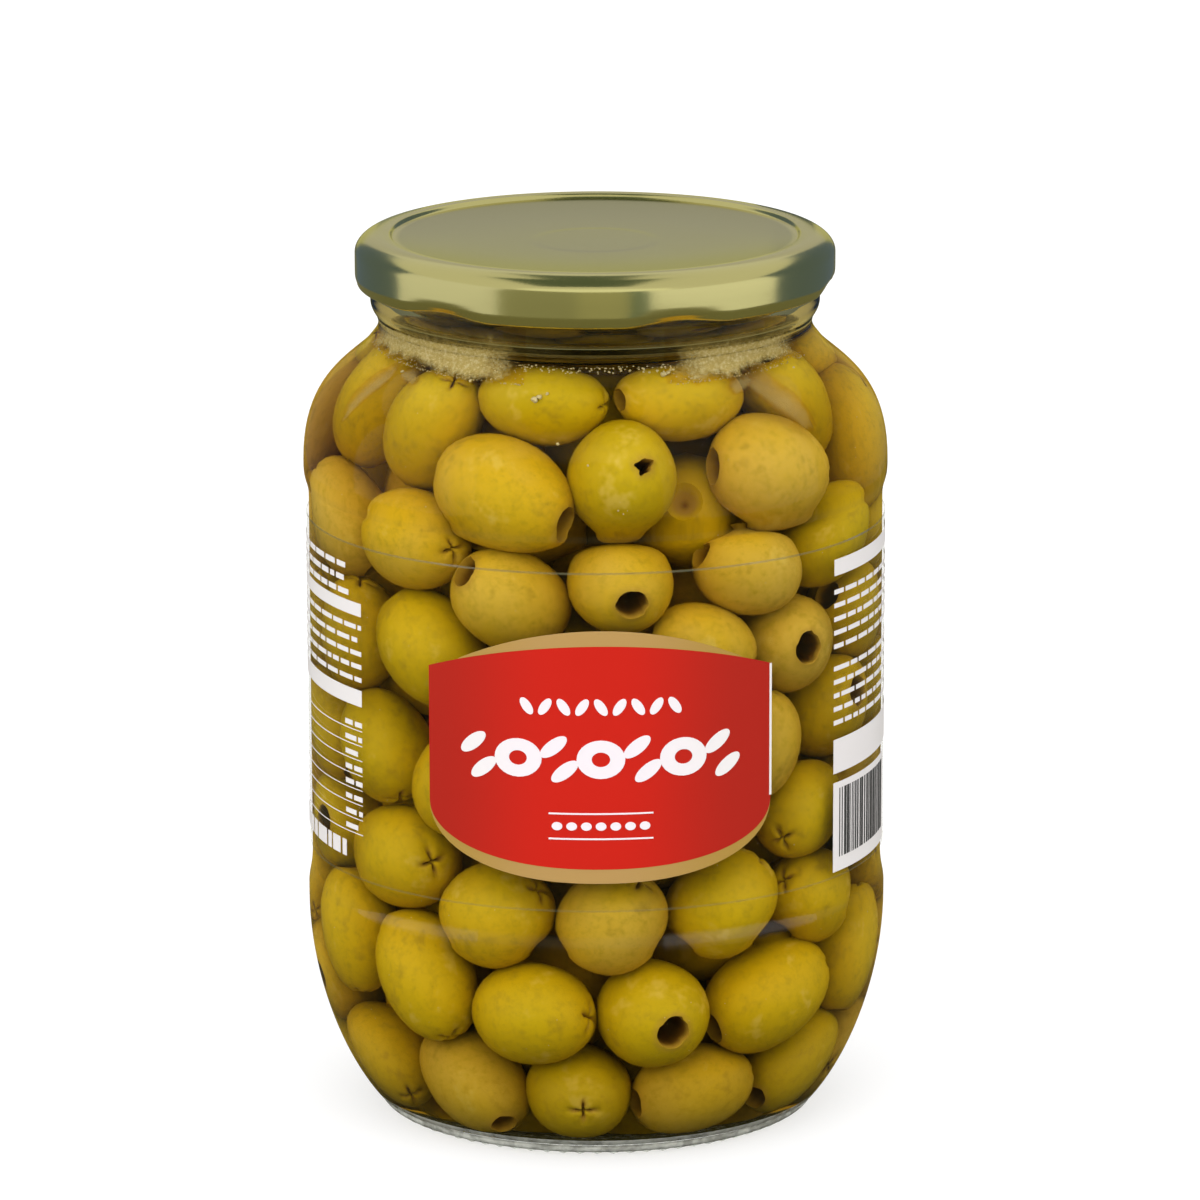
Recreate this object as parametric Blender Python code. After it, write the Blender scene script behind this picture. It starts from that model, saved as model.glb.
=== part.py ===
"""Shut glass jar of pitted green olives: blown jar, lug cap, wrap-round film label, olives.

Metres, +Z up. The origin is the middle of the jar's foot, on the surface it stands on,
and the front of the label faces -Y. The brine has no solid here.
"""
import math

import bmesh
import bpy
import numpy as np
from mathutils import Matrix, Vector

MM = 0.001
GAP = 0.3 * MM
SIDES = 44

# Glass: driving radii and heights
FOOT_RADIUS = 39.0 * MM
FOOT_INNER_RADIUS = 34.0 * MM
FOOT_RING_HEIGHT = 1.5 * MM
PUSH_UP = 2.2 * MM
HEEL_START = (41.0 * MM, 2.4 * MM)
LOWER_BEAD_RADIUS = 52.8 * MM
LOWER_BEAD_HEIGHT = 39.1 * MM
PANEL_RADIUS = 52.1 * MM
PANEL_BOTTOM = 47.5 * MM
PANEL_TOP = 114.5 * MM
SHOULDER_RADIUS = 53.0 * MM
SHOULDER_HEIGHT = 120.5 * MM
SHOULDER_END = (42.2 * MM, 141.0 * MM)
NECK_RADIUS = 39.1 * MM
NECK_HEIGHT = 145.8 * MM
NECK_BEAD_RADIUS = 40.8 * MM
NECK_BEAD_HEIGHT = 150.3 * MM
FINISH_RADIUS = 40.2 * MM
LIP_HEIGHT = 159.9 * MM
WALL = 2.7 * MM
MOUTH_RADIUS = 36.3 * MM
FLOOR_HEIGHT = 3.7 * MM
FLOOR_CROWN = 1.6 * MM

# Cap
CAP_RADIUS = 43.35 * MM
CAP_TOP = 162.0 * MM
CAP_BOTTOM = 152.7 * MM
CAP_CORNER = 3.4 * MM
CAP_SHEET = 0.5 * MM
CAP_RECESS = 1.1 * MM
CAP_PANEL_RADIUS = 36.0 * MM
CURL_WIDTH = 1.7 * MM
LUG_COUNT = 6
LUG_AZIMUTH = 18.0
LUG_LIFT = 1.5 * MM
LUG_PUSH = 0.8 * MM
LUG_REACH = 9.0

# Film label and its printed front field
FILM_THICKNESS = 0.3 * MM
FILM_RADIUS = PANEL_RADIUS + GAP
FILM_BOTTOM = 49.5 * MM
FILM_TOP = 111.3 * MM
PRINT_AZIMUTH = 0.95
PRINT_HALF_WIDTH = 32.2 * MM
FIELD_TOP = 98.0 * MM
FIELD_TOP_DROP = 5.5 * MM
FIELD_BOTTOM = 57.4 * MM
FIELD_SHOULDER = 68.4 * MM
FIELD_ROUNDNESS = 2.3
BAND_TOP = 100.8 * MM
BAND_BOTTOM = 54.8 * MM
BAND_HALF_WIDTH = 23.5 * MM
PRINT_COLUMNS = 18

# Olives
CORE_RADIUS = 40.5 * MM
CORE_BOTTOM = 7.5 * MM
CORE_TOP = 135.0 * MM
CORE_ROUNDING = 2.0 * MM
CORE_SIDES = 16
CORE_STATIONS = (0.0, 0.06, 0.2, 0.5, 0.82, 0.92, 1.0)
OLIVE_LENGTH = 20.5 * MM
OLIVE_WIDTH = 17.8 * MM
OLIVE_SIDES = 6
OLIVE_RINGS = 5
WALL_CLEARANCE = 0.5 * MM
PIT_RADIUS = 3.1 * MM
PIT_DEPTH = 5.0 * MM
PIT_SIDES = 6
HEAP_TOP = 144.0 * MM
HEAP_SEED = 7
OLIVE_TRACK_RADIUS = 44.0 * MM
HAND_LAID_FREEDOM = 0.25
SETTLE_STEPS = 120
WALL_STEPS = 12
WALL_STRIDE = 0.7
PUSH_STRIDE = 0.6

# Olives that show in front, laid by hand: azimuth, height, tilt of the long axis from level,
# lean of that axis out towards the glass, length and width, and whether the pit hole shows.
# Degrees and millimetres.
FRONT_OLIVES = (
    (-24.5, 124.0, -15, 8, 25.5, 17.6, True),
    (6.5, 126.0, 40, 58, 20.5, 17.6, True),
    (37.0, 124.5, -10, 15, 23.0, 16.8, False),
    (-13.5, 135.5, -2, 5, 23.0, 15.5, False),
    (22.0, 136.0, -3, 0, 23.0, 15.5, False),
    (-46.0, 128.5, 60, 10, 22.0, 17.0, False),
    (-76.0, 124.0, 80, 0, 22.0, 17.5, False),
    (66.0, 126.0, -65, 0, 22.0, 17.0, False),
    (-46.0, 108.7, 2, 10, 22.5, 17.8, False),
    (-15.5, 104.4, 140, 35, 21.5, 18.2, True),
    (11.0, 107.0, -60, 75, 20.5, 17.6, True),
    (36.0, 107.8, -24, 10, 20.5, 16.8, False),
    (68.0, 108.0, 30, 20, 21.5, 17.0, False),
    (-41.0, 90.5, -48, 8, 22.5, 18.8, False),
    (22.5, 93.0, -20, 10, 20.0, 17.0, False),
    (47.5, 92.0, 175, 76, 21.5, 18.0, True),
    (45.0, 72.5, 78, 5, 21.0, 18.2, False),
    (-61.0, 75.0, -55, 5, 21.5, 18.0, False),
    (-70.0, 93.0, 80, 0, 21.5, 17.5, False),
    (-50.0, 54.5, 8, 20, 23.0, 19.4, False),
    (-76.0, 52.5, 10, 60, 20.5, 17.5, True),
    (-22.5, 47.5, 35, 5, 20.5, 19.0, False),
    (5.0, 46.0, 60, 20, 20.0, 18.5, False),
    (31.0, 51.0, 50, 10, 20.8, 18.6, False),
    (-68.0, 32.5, -78, 0, 22.5, 17.0, False),
    (-43.5, 33.5, -58, 5, 24.0, 17.8, False),
    (-15.5, 28.5, 2, 10, 21.5, 18.2, False),
    (14.0, 28.7, -50, 74, 20.5, 18.8, True),
    (42.0, 31.0, 20, 10, 24.5, 18.6, False),
    (70.0, 33.0, 75, 5, 22.0, 17.5, False),
    (-66.0, 17.5, -40, 5, 20.0, 16.8, False),
    (-38.0, 14.0, -46, 15, 22.5, 17.2, True),
    (-2.5, 13.6, -60, 72, 19.5, 17.4, False),
    (27.0, 14.0, 8, 5, 21.5, 16.8, False),
    (57.0, 17.0, 30, 5, 21.5, 16.8, False),
    (-18.0, 81.5, 20, 5, 20.5, 18.0, False),
    (4.5, 86.5, -60, 20, 20.0, 17.8, False),
    (15.0, 69.0, 30, 5, 20.5, 17.8, False),
    (-16.0, 63.0, -10, 10, 20.0, 17.6, False),
    (-35.0, 73.0, 65, 5, 20.0, 17.4, False),
)

# Rows of the olives round the sides and back: height and how many go round
SIDE_ROWS = (
    (13.5, 11), (29.5, 13), (46.0, 14), (62.0, 14), (78.0, 14), (93.5, 14), (109.5, 14), (125.0, 13),
    (136.0, 9),
)


def bezier(start, start_handle, end_handle, end, steps):
    """Points of one cubic curve in the (radius, height) plane, both ends included."""
    points = []
    for step in range(steps + 1):
        t = step / steps
        weights = ((1 - t) ** 3, 3 * (1 - t) ** 2 * t, 3 * (1 - t) * t ** 2, t ** 3)
        corners = (start, start_handle, end_handle, end)
        radius = sum(w * corner[0] for w, corner in zip(weights, corners))
        height = sum(w * corner[1] for w, corner in zip(weights, corners))
        points.append((radius, height))
    return points


def arc(centre, radius, first, last, steps):
    """Points of a circular arc in the (radius, height) plane; angles in degrees."""
    points = []
    for step in range(steps + 1):
        angle = math.radians(first + (last - first) * step / steps)
        points.append((centre[0] + radius * math.cos(angle), centre[1] + radius * math.sin(angle)))
    return points


def new_material(name, colour, roughness, metallic=0.0, alpha=1.0):
    material = bpy.data.materials.new(name)
    material.use_nodes = True
    shader = material.node_tree.nodes["Principled BSDF"]
    shader.inputs["Base Color"].default_value = (*colour, 1.0)
    shader.inputs["Roughness"].default_value = roughness
    shader.inputs["Metallic"].default_value = metallic
    shader.inputs["Alpha"].default_value = alpha
    return material


def finish_object(name, bm, material, smooth_angle=35.0):
    """Turn a bmesh into a named object with outward faces."""
    bmesh.ops.recalc_face_normals(bm, faces=bm.faces)
    mesh = bpy.data.meshes.new(name)
    bm.to_mesh(mesh)
    bm.free()
    mesh.shade_smooth()
    mesh.set_sharp_from_angle(angle=math.radians(smooth_angle))
    mesh.materials.append(material)
    item = bpy.data.objects.new(name, mesh)
    bpy.context.collection.objects.link(item)
    return item


def turned(profile, sides, first_azimuth=0.0):
    """Spin an open profile that starts and ends on the axis into a closed body."""
    bm = bmesh.new()
    turn = Matrix.Rotation(math.radians(first_azimuth), 4, "Z")
    ring = [bm.verts.new(turn @ Vector((radius, 0.0, height))) for radius, height in profile]
    edges = [bm.edges.new(pair) for pair in zip(ring, ring[1:])]
    bmesh.ops.spin(bm, geom=ring + edges, axis=(0, 0, 1), cent=(0, 0, 0), angle=2 * math.pi,
                   steps=sides, use_merge=True)
    bmesh.ops.remove_doubles(bm, verts=bm.verts, dist=1e-6)
    return bm


def glass_outside():
    """Outer profile of the jar, from the middle of the push-up to the top of the lip."""
    foot_middle = (FOOT_INNER_RADIUS + FOOT_RADIUS) / 2
    points = [
        (0.0, PUSH_UP),
        (FOOT_INNER_RADIUS * 0.6, PUSH_UP * 0.75),
        (FOOT_INNER_RADIUS, 0.5 * MM),
        (foot_middle - 1.2 * MM, 0.0),
        (FOOT_RADIUS - 0.5 * MM, 0.0),
        (FOOT_RADIUS + 0.6 * MM, 0.6 * MM),
        (FOOT_RADIUS + 0.9 * MM, FOOT_RING_HEIGHT),
    ]
    points += bezier(HEEL_START, (47.4 * MM, 10.2 * MM), (LOWER_BEAD_RADIUS, 24.7 * MM),
                     (LOWER_BEAD_RADIUS, LOWER_BEAD_HEIGHT), 5)
    points += [
        (52.5 * MM, 43.7 * MM),
        (PANEL_RADIUS, PANEL_BOTTOM),
        (PANEL_RADIUS, PANEL_TOP),
        (52.75 * MM, 117.6 * MM),
    ]
    points += bezier((SHOULDER_RADIUS, SHOULDER_HEIGHT), (SHOULDER_RADIUS, 134.0 * MM),
                     (46.3 * MM, 137.3 * MM), SHOULDER_END, 6)
    points += [
        (40.0 * MM, 143.4 * MM),
        (NECK_RADIUS, NECK_HEIGHT),
        (39.8 * MM, 148.6 * MM),
        (NECK_BEAD_RADIUS, NECK_BEAD_HEIGHT),
        (FINISH_RADIUS, 151.6 * MM),
        (FINISH_RADIUS, LIP_HEIGHT - 1.4 * MM),
        (FINISH_RADIUS - 1.2 * MM, LIP_HEIGHT),
    ]
    return points


def glass_inside():
    """Inner profile of the jar, from the lip down to the middle of the floor."""
    points = [
        (MOUTH_RADIUS + 1.0 * MM, LIP_HEIGHT),
        (MOUTH_RADIUS, LIP_HEIGHT - 1.2 * MM),
        (MOUTH_RADIUS, NECK_HEIGHT),
        (38.0 * MM, 141.4 * MM),
    ]
    points += bezier((40.3 * MM, 138.9 * MM), (44.6 * MM, 135.0 * MM),
                     (SHOULDER_RADIUS - WALL, 132.3 * MM), (SHOULDER_RADIUS - WALL, SHOULDER_HEIGHT), 4)
    points += [
        (PANEL_RADIUS - WALL, PANEL_TOP),
        (PANEL_RADIUS - WALL, PANEL_BOTTOM),
    ]
    points += bezier((LOWER_BEAD_RADIUS - WALL, LOWER_BEAD_HEIGHT), (LOWER_BEAD_RADIUS - WALL, 25.2 * MM),
                     (45.4 * MM, 12.2 * MM), (38.6 * MM, 4.5 * MM), 4)
    points += [
        (36.2 * MM, FLOOR_HEIGHT),
        (18.0 * MM, FLOOR_HEIGHT + 0.75 * FLOOR_CROWN),
        (0.0, FLOOR_HEIGHT + FLOOR_CROWN),
    ]
    return points


def make_glass():
    glass = new_material("clear_glass", (0.86, 0.90, 0.86), 0.03, alpha=0.35)
    bm = turned(glass_outside() + glass_inside(), SIDES)
    return finish_object("jar_glass", bm, glass, 50.0)


def cap_profile():
    """Cap shell from the middle of its top, over the rim and curl, back to the middle below."""
    crest = (CAP_RADIUS - CAP_CORNER, CAP_TOP - CAP_CORNER)
    panel = CAP_TOP - CAP_RECESS
    curl_inner = CAP_RADIUS - CURL_WIDTH
    inner_corner = CAP_CORNER - CAP_SHEET
    points = [
        (0.0, panel),
        (CAP_PANEL_RADIUS, panel),
        (CAP_PANEL_RADIUS + 1.1 * MM, panel + 0.3 * MM),
        (CAP_PANEL_RADIUS + 2.2 * MM, CAP_TOP - 0.25 * MM),
    ]
    points += arc(crest, CAP_CORNER, 90, 0, 5)
    points += [
        (CAP_RADIUS, CAP_BOTTOM + 0.7 * MM),
        (CAP_RADIUS - 0.4 * MM, CAP_BOTTOM + 0.1 * MM),
        (curl_inner + 0.4 * MM, CAP_BOTTOM),
        (curl_inner, CAP_BOTTOM + 0.6 * MM),
        (curl_inner + 0.3 * MM, CAP_BOTTOM + 1.4 * MM),
        (CAP_RADIUS - CAP_SHEET, CAP_BOTTOM + 1.9 * MM),
    ]
    points += arc(crest, inner_corner, 0, 90, 3)
    points += [
        (CAP_PANEL_RADIUS + 2.4 * MM, CAP_TOP - 0.25 * MM - CAP_SHEET),
        (CAP_PANEL_RADIUS + 1.3 * MM, panel + 0.3 * MM - CAP_SHEET),
        (0.0, panel - CAP_SHEET),
    ]
    return points


def press_lugs(bm):
    """Push the curl in and up where each lug grips the glass."""
    curl_top = CAP_BOTTOM + 2.0 * MM
    spacing = 360.0 / LUG_COUNT
    for vert in bm.verts:
        if vert.co.z > curl_top:
            continue
        azimuth = math.degrees(math.atan2(vert.co.x, -vert.co.y))
        offset = (azimuth - LUG_AZIMUTH + spacing / 2) % spacing - spacing / 2
        if abs(offset) > LUG_REACH:
            continue
        share = math.cos(math.radians(90.0 * offset / LUG_REACH)) ** 0.5
        depth = 1.0 - (vert.co.z - CAP_BOTTOM) / (curl_top - CAP_BOTTOM)
        vert.co.z += LUG_LIFT * share * depth
        radius = math.hypot(vert.co.x, vert.co.y)
        shrink = 1.0 - LUG_PUSH * share * depth / radius
        vert.co.x *= shrink
        vert.co.y *= shrink


def make_cap():
    tin = new_material("pale_gold_tin", (0.50, 0.49, 0.24), 0.28, metallic=0.9)
    bm = turned(cap_profile(), SIDES, LUG_AZIMUTH)
    press_lugs(bm)
    return finish_object("lid", bm, tin, 50.0)


def field_top(along):
    """Upper edge of the red field, as an arch over the distance along the label."""
    return FIELD_TOP - FIELD_TOP_DROP * (along / PRINT_HALF_WIDTH) ** 2


def rounded_bottom(along, lowest):
    """Lower edge of a field whose sides turn into a shallow bowl."""
    share = min(abs(along) / PRINT_HALF_WIDTH, 1.0)
    drop = 1.0 - (1.0 - share ** FIELD_ROUNDNESS) ** (1.0 / FIELD_ROUNDNESS)
    return lowest + (FIELD_SHOULDER - lowest) * drop


def band_top(along):
    """Upper edge of the tan band above the field."""
    rise = BAND_TOP - FIELD_TOP
    return field_top(along) + rise * (1.0 - (along / (BAND_HALF_WIDTH + 3.3 * MM)) ** 2)


def on_panel(along, height, radius=FILM_RADIUS):
    """Point of the label's round surface: distance along it from the print's middle, and height."""
    azimuth = along / radius + math.radians(PRINT_AZIMUTH)
    return Vector((radius * math.sin(azimuth), -radius * math.cos(azimuth), height))


def thicken(bm):
    """Give a sheet on the panel its thickness, straight out from the jar's axis."""
    sheet = list(bm.faces)
    bmesh.ops.recalc_face_normals(bm, faces=sheet)
    extruded = bmesh.ops.extrude_face_region(bm, geom=sheet, use_keep_orig=True)
    outer = [item for item in extruded["geom"] if isinstance(item, bmesh.types.BMVert)]
    for vert in outer:
        radius = math.hypot(vert.co.x, vert.co.y)
        vert.co.x *= 1.0 + FILM_THICKNESS / radius
        vert.co.y *= 1.0 + FILM_THICKNESS / radius


def plate(name, lower, upper, half_width, material):
    """Printed field as a thin plate on the panel between two edge curves."""
    bm = bmesh.new()
    columns = []
    for step in range(PRINT_COLUMNS + 1):
        along = -half_width * math.cos(math.pi * step / PRINT_COLUMNS)
        columns.append((bm.verts.new(on_panel(along, lower(along))),
                        bm.verts.new(on_panel(along, upper(along)))))
    for left, right in zip(columns, columns[1:]):
        bm.faces.new((left[0], right[0], right[1], left[1]))
    thicken(bm)
    return finish_object(name, bm, material)


def make_film():
    """Clear film all the way round, open where the printed front field lies."""
    clear = new_material("clear_film", (0.90, 0.90, 0.86), 0.1, alpha=0.25)
    bm = bmesh.new()
    window = PRINT_HALF_WIDTH + GAP
    lower_side = FIELD_SHOULDER
    upper_side = field_top(PRINT_HALF_WIDTH)
    columns = []
    for step in range(PRINT_COLUMNS + 1):
        along = -window * math.cos(math.pi * step / PRINT_COLUMNS)
        inside = max(-PRINT_HALF_WIDTH, min(PRINT_HALF_WIDTH, along))
        lower = rounded_bottom(inside, BAND_BOTTOM) - GAP
        upper = max(band_top(inside), field_top(inside)) + GAP
        columns.append((along, lower, upper))
    around = 2 * math.pi * FILM_RADIUS - 2 * window
    back_columns = round(SIDES * around / (2 * math.pi * FILM_RADIUS))
    for step in range(1, back_columns):
        columns.append((window + around * step / back_columns, lower_side, upper_side))
    rings = []
    for along, lower, upper in columns:
        heights = (FILM_BOTTOM, lower, upper, FILM_TOP)
        rings.append([bm.verts.new(on_panel(along, height)) for height in heights])
    for index, left in enumerate(rings):
        right = rings[(index + 1) % len(rings)]
        for band in range(3):
            if band == 1 and index < PRINT_COLUMNS:
                continue
            bm.faces.new((left[band], right[band], right[band + 1], left[band + 1]))
    thicken(bm)
    return finish_object("label_film", bm, clear)


def make_label():
    red = new_material("label_red", (0.66, 0.02, 0.01), 0.35)
    tan = new_material("label_tan", (0.60, 0.43, 0.17), 0.4)
    make_film()
    plate("label_field", lambda along: rounded_bottom(along, FIELD_BOTTOM), field_top, PRINT_HALF_WIDTH, red)
    plate("label_band_top", lambda along: field_top(along) + GAP, band_top, BAND_HALF_WIDTH, tan)
    plate("label_band_bottom", lambda along: rounded_bottom(along, BAND_BOTTOM),
          lambda along: rounded_bottom(along, FIELD_BOTTOM) - GAP, BAND_HALF_WIDTH, tan)


def inner_wall():
    """Evenly spaced points (radius, height) up the jar's inner wall, for placing the olives."""
    wall = [point for point in reversed(glass_inside()) if point[0] >= MOUTH_RADIUS - 1 * MM]
    heights = np.array([point[1] for point in wall])
    radii = np.array([point[0] for point in wall])
    levels = np.arange(FLOOR_HEIGHT, 150 * MM, 1 * MM)
    return np.stack([np.interp(levels, heights, radii), levels], axis=1)


def reach_along(axes, lengths, widths, directions):
    """How far each olive reaches from its middle along a direction."""
    along = np.sum(axes * directions, axis=-1) ** 2
    return 1.0 / np.sqrt(along / (lengths / 2) ** 2 + (1.0 - along) / (widths / 2) ** 2)


def frames_at(azimuths):
    """Sideways and outward unit vectors at each azimuth, measured from the front towards +X."""
    sideways = np.stack([np.cos(azimuths), np.sin(azimuths), np.zeros_like(azimuths)], axis=-1)
    outward = np.stack([np.sin(azimuths), -np.cos(azimuths), np.zeros_like(azimuths)], axis=-1)
    return sideways, outward


def olive_axes(azimuths, tilts, leans):
    sideways, outward = frames_at(azimuths)
    level = np.cos(tilts)[:, None] * sideways
    level[:, 2] += np.sin(tilts)
    return np.cos(leans)[:, None] * level + np.sin(leans)[:, None] * outward


def lay_olives():
    """Rows of (azimuth, height, tilt, lean, length, width, pit) in radians and metres."""
    rng = np.random.default_rng(HEAP_SEED)
    rows = []
    for azimuth, height, tilt, lean, length, width, pit in FRONT_OLIVES:
        rows.append((math.radians(azimuth), height * MM, math.radians(tilt), math.radians(lean),
                     length * MM, width * MM, float(pit)))
    laid = len(rows)
    for number, (height, count) in enumerate(SIDE_ROWS):
        for step in range(count):
            azimuth = 2 * math.pi * (step + 0.5 * (number % 2)) / count + rng.uniform(-0.08, 0.08)
            azimuth = (azimuth + math.pi) % (2 * math.pi) - math.pi
            up = height * MM + rng.uniform(-1.5, 1.5) * MM
            tilt = rng.uniform(-math.pi, math.pi)
            lean = rng.uniform(0.0, 0.5) if rng.random() < 0.7 else rng.uniform(0.9, 1.4)
            length = OLIVE_LENGTH * rng.uniform(0.92, 1.12)
            width = OLIVE_WIDTH * rng.uniform(0.93, 1.05)
            near = [row for row in rows[:laid]
                    if math.hypot((row[0] - azimuth) * OLIVE_TRACK_RADIUS, row[1] - up) < 0.8 * OLIVE_WIDTH]
            if not near:
                rows.append((azimuth, up, tilt, lean, length, width, float(lean > 0.9)))
    return np.array(rows), laid


def wall_gap(wall, radii, heights, outward, axes, lengths, widths):
    """Free distance between each olive and the glass, and how level the glass faces there."""
    across = wall[None, :, 0] - radii[:, None]
    up = wall[None, :, 1] - heights[:, None]
    distance = np.hypot(across, up)
    direction = across[:, :, None] * outward[:, None, :]
    direction[:, :, 2] += up
    direction /= distance[:, :, None]
    reach = reach_along(axes[:, None, :], lengths[:, None], widths[:, None], direction)
    gap = distance - reach
    nearest = np.argmin(gap, axis=1)
    picked = np.arange(len(radii))
    return gap[picked, nearest], across[picked, nearest] / distance[picked, nearest]


def settle_olives():
    """Push the laid olives apart along the glass until they only touch; each stays at the wall."""
    rows, laid = lay_olives()
    azimuths, heights, tilts, leans, lengths, widths, pits = rows.T
    wall = inner_wall()
    count = len(rows)
    radii = np.full(count, CORE_RADIUS)
    freedom = np.where(np.arange(count) < laid, HAND_LAID_FREEDOM, 1.0)
    upright = np.tile(np.array((0.0, 0.0, 1.0)), (count, 1))
    for _ in range(SETTLE_STEPS):
        axes = olive_axes(azimuths, tilts, leans)
        sideways, outward = frames_at(azimuths)
        gap, level = wall_gap(wall, radii, heights, outward, axes, lengths, widths)
        radii = radii + WALL_STRIDE * (gap - WALL_CLEARANCE) / np.maximum(level, 0.4)
        centres = radii[:, None] * outward
        centres[:, 2] = heights
        apart = centres[None, :, :] - centres[:, None, :]
        distance = np.linalg.norm(apart, axis=2) + np.eye(count)
        direction = apart / distance[:, :, None]
        mine = reach_along(axes[:, None, :], lengths[:, None], widths[:, None], direction)
        theirs = reach_along(axes[None, :, :], lengths[None, :], widths[None, :], direction)
        overlap = np.clip(mine + theirs - distance, 0.0, None) * (1.0 - np.eye(count))
        share = freedom[:, None] / (freedom[:, None] + freedom[None, :])
        push = -PUSH_STRIDE * np.sum(direction * (overlap * share)[:, :, None], axis=1)
        azimuths = azimuths + np.sum(push * sideways, axis=1) / np.maximum(radii, 20 * MM)
        half_height = reach_along(axes, lengths, widths, upright) + WALL_CLEARANCE
        heights = np.clip(heights + push[:, 2], FLOOR_HEIGHT + half_height, HEAP_TOP - half_height)
    for _ in range(WALL_STEPS):
        gap, level = wall_gap(wall, radii, heights, outward, axes, lengths, widths)
        radii = radii + WALL_STRIDE * (gap - WALL_CLEARANCE) / np.maximum(level, 0.4)
        centres = radii[:, None] * outward
        centres[:, 2] = heights
    return centres, axes, lengths, widths, pits, laid


def core_profile():
    """Bare core that the olives are fused to: the jar's inside drawn in by half an olive."""
    inset = PANEL_RADIUS - WALL - CORE_RADIUS
    wall = inner_wall()
    points = [(0.0, CORE_BOTTOM)]
    for share in CORE_STATIONS:
        height = CORE_BOTTOM + (CORE_TOP - CORE_BOTTOM) * share
        edge = CORE_ROUNDING if share in (0.0, 1.0) else 0.0
        points.append((float(np.interp(height, wall[:, 1], wall[:, 0])) - inset - edge, height))
    points.append((0.0, CORE_TOP))
    return points


def add_loose(collection, name, bm):
    bmesh.ops.recalc_face_normals(bm, faces=bm.faces)
    mesh = bpy.data.meshes.new(name)
    bm.to_mesh(mesh)
    bm.free()
    collection.objects.link(bpy.data.objects.new(name, mesh))


def add_olive(collection, centre, axis, length, width):
    """One olive with few sides, as an object of its own for the union."""
    bm = bmesh.new()
    bmesh.ops.create_uvsphere(bm, u_segments=OLIVE_SIDES, v_segments=OLIVE_RINGS, radius=0.5)
    turn = Vector((0, 0, 1)).rotation_difference(Vector(axis)).to_matrix().to_4x4()
    place = Matrix.Translation(centre) @ turn @ Matrix.Diagonal((width, width, length, 1.0))
    bmesh.ops.transform(bm, matrix=place, verts=bm.verts)
    add_loose(collection, "olive", bm)


def add_pit(collection, centre, axis, length):
    """Cutter with few sides for the hole that the stone left."""
    bm = bmesh.new()
    bmesh.ops.create_cone(bm, cap_ends=True, segments=PIT_SIDES, radius1=PIT_RADIUS,
                          radius2=PIT_RADIUS, depth=2 * PIT_DEPTH)
    turn = Vector((0, 0, 1)).rotation_difference(Vector(axis)).to_matrix().to_4x4()
    tip = Vector(centre) + Vector(axis) * length / 2
    bmesh.ops.transform(bm, matrix=Matrix.Translation(tip) @ turn, verts=bm.verts)
    add_loose(collection, "pit", bm)


def join_collection(item, collection, operation):
    """Apply one Boolean of a whole collection to an object, then remove the collection."""
    modifier = item.modifiers.new("join", "BOOLEAN")
    modifier.operation = operation
    modifier.operand_type = "COLLECTION"
    modifier.collection = collection
    modifier.solver = "EXACT"
    bpy.context.view_layer.update()
    depsgraph = bpy.context.evaluated_depsgraph_get()
    joined = bpy.data.meshes.new_from_object(item.evaluated_get(depsgraph))
    item.modifiers.clear()
    item.data = joined
    for piece in list(collection.objects):
        bpy.data.objects.remove(piece, do_unlink=True)
    bpy.data.collections.remove(collection)


def keep_largest_body(item):
    """Drop loose scraps and sealed hollows that the Boolean leaves."""
    bm = bmesh.new()
    bm.from_mesh(item.data)
    bmesh.ops.triangulate(bm, faces=bm.faces)
    left = set(bm.faces)
    bodies = []
    while left:
        stack = [left.pop()]
        body = []
        while stack:
            face = stack.pop()
            body.append(face)
            for edge in face.edges:
                for other in edge.link_faces:
                    if other in left:
                        left.remove(other)
                        stack.append(other)
        bodies.append(body)
    bodies.sort(key=len, reverse=True)
    scraps = [face for body in bodies[1:] for face in body]
    bmesh.ops.delete(bm, geom=scraps, context="FACES")
    bm.to_mesh(item.data)
    bm.free()


def make_olives():
    green = new_material("olive_flesh", (0.42, 0.32, 0.03), 0.35)
    core = finish_object("olives", turned(core_profile(), CORE_SIDES), green)
    centres, axes, lengths, widths, pits, laid = settle_olives()
    heap = bpy.data.collections.new("heap")
    bpy.context.scene.collection.children.link(heap)
    for centre, axis, length, width in zip(centres, axes, lengths, widths):
        add_olive(heap, centre, axis, length, width)
    join_collection(core, heap, "UNION")
    holes = bpy.data.collections.new("holes")
    bpy.context.scene.collection.children.link(holes)
    for number in range(laid):
        if pits[number]:
            add_pit(holes, centres[number], axes[number], lengths[number])
    join_collection(core, holes, "DIFFERENCE")
    keep_largest_body(core)
    core.data.materials.clear()
    core.data.materials.append(green)


def main():
    for item in list(bpy.data.objects):
        bpy.data.objects.remove(item, do_unlink=True)
    make_glass()
    make_cap()
    make_label()
    make_olives()


main()
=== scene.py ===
import math

import bmesh
import bpy
import numpy as np
from mathutils import Matrix, Vector, noise


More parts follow.
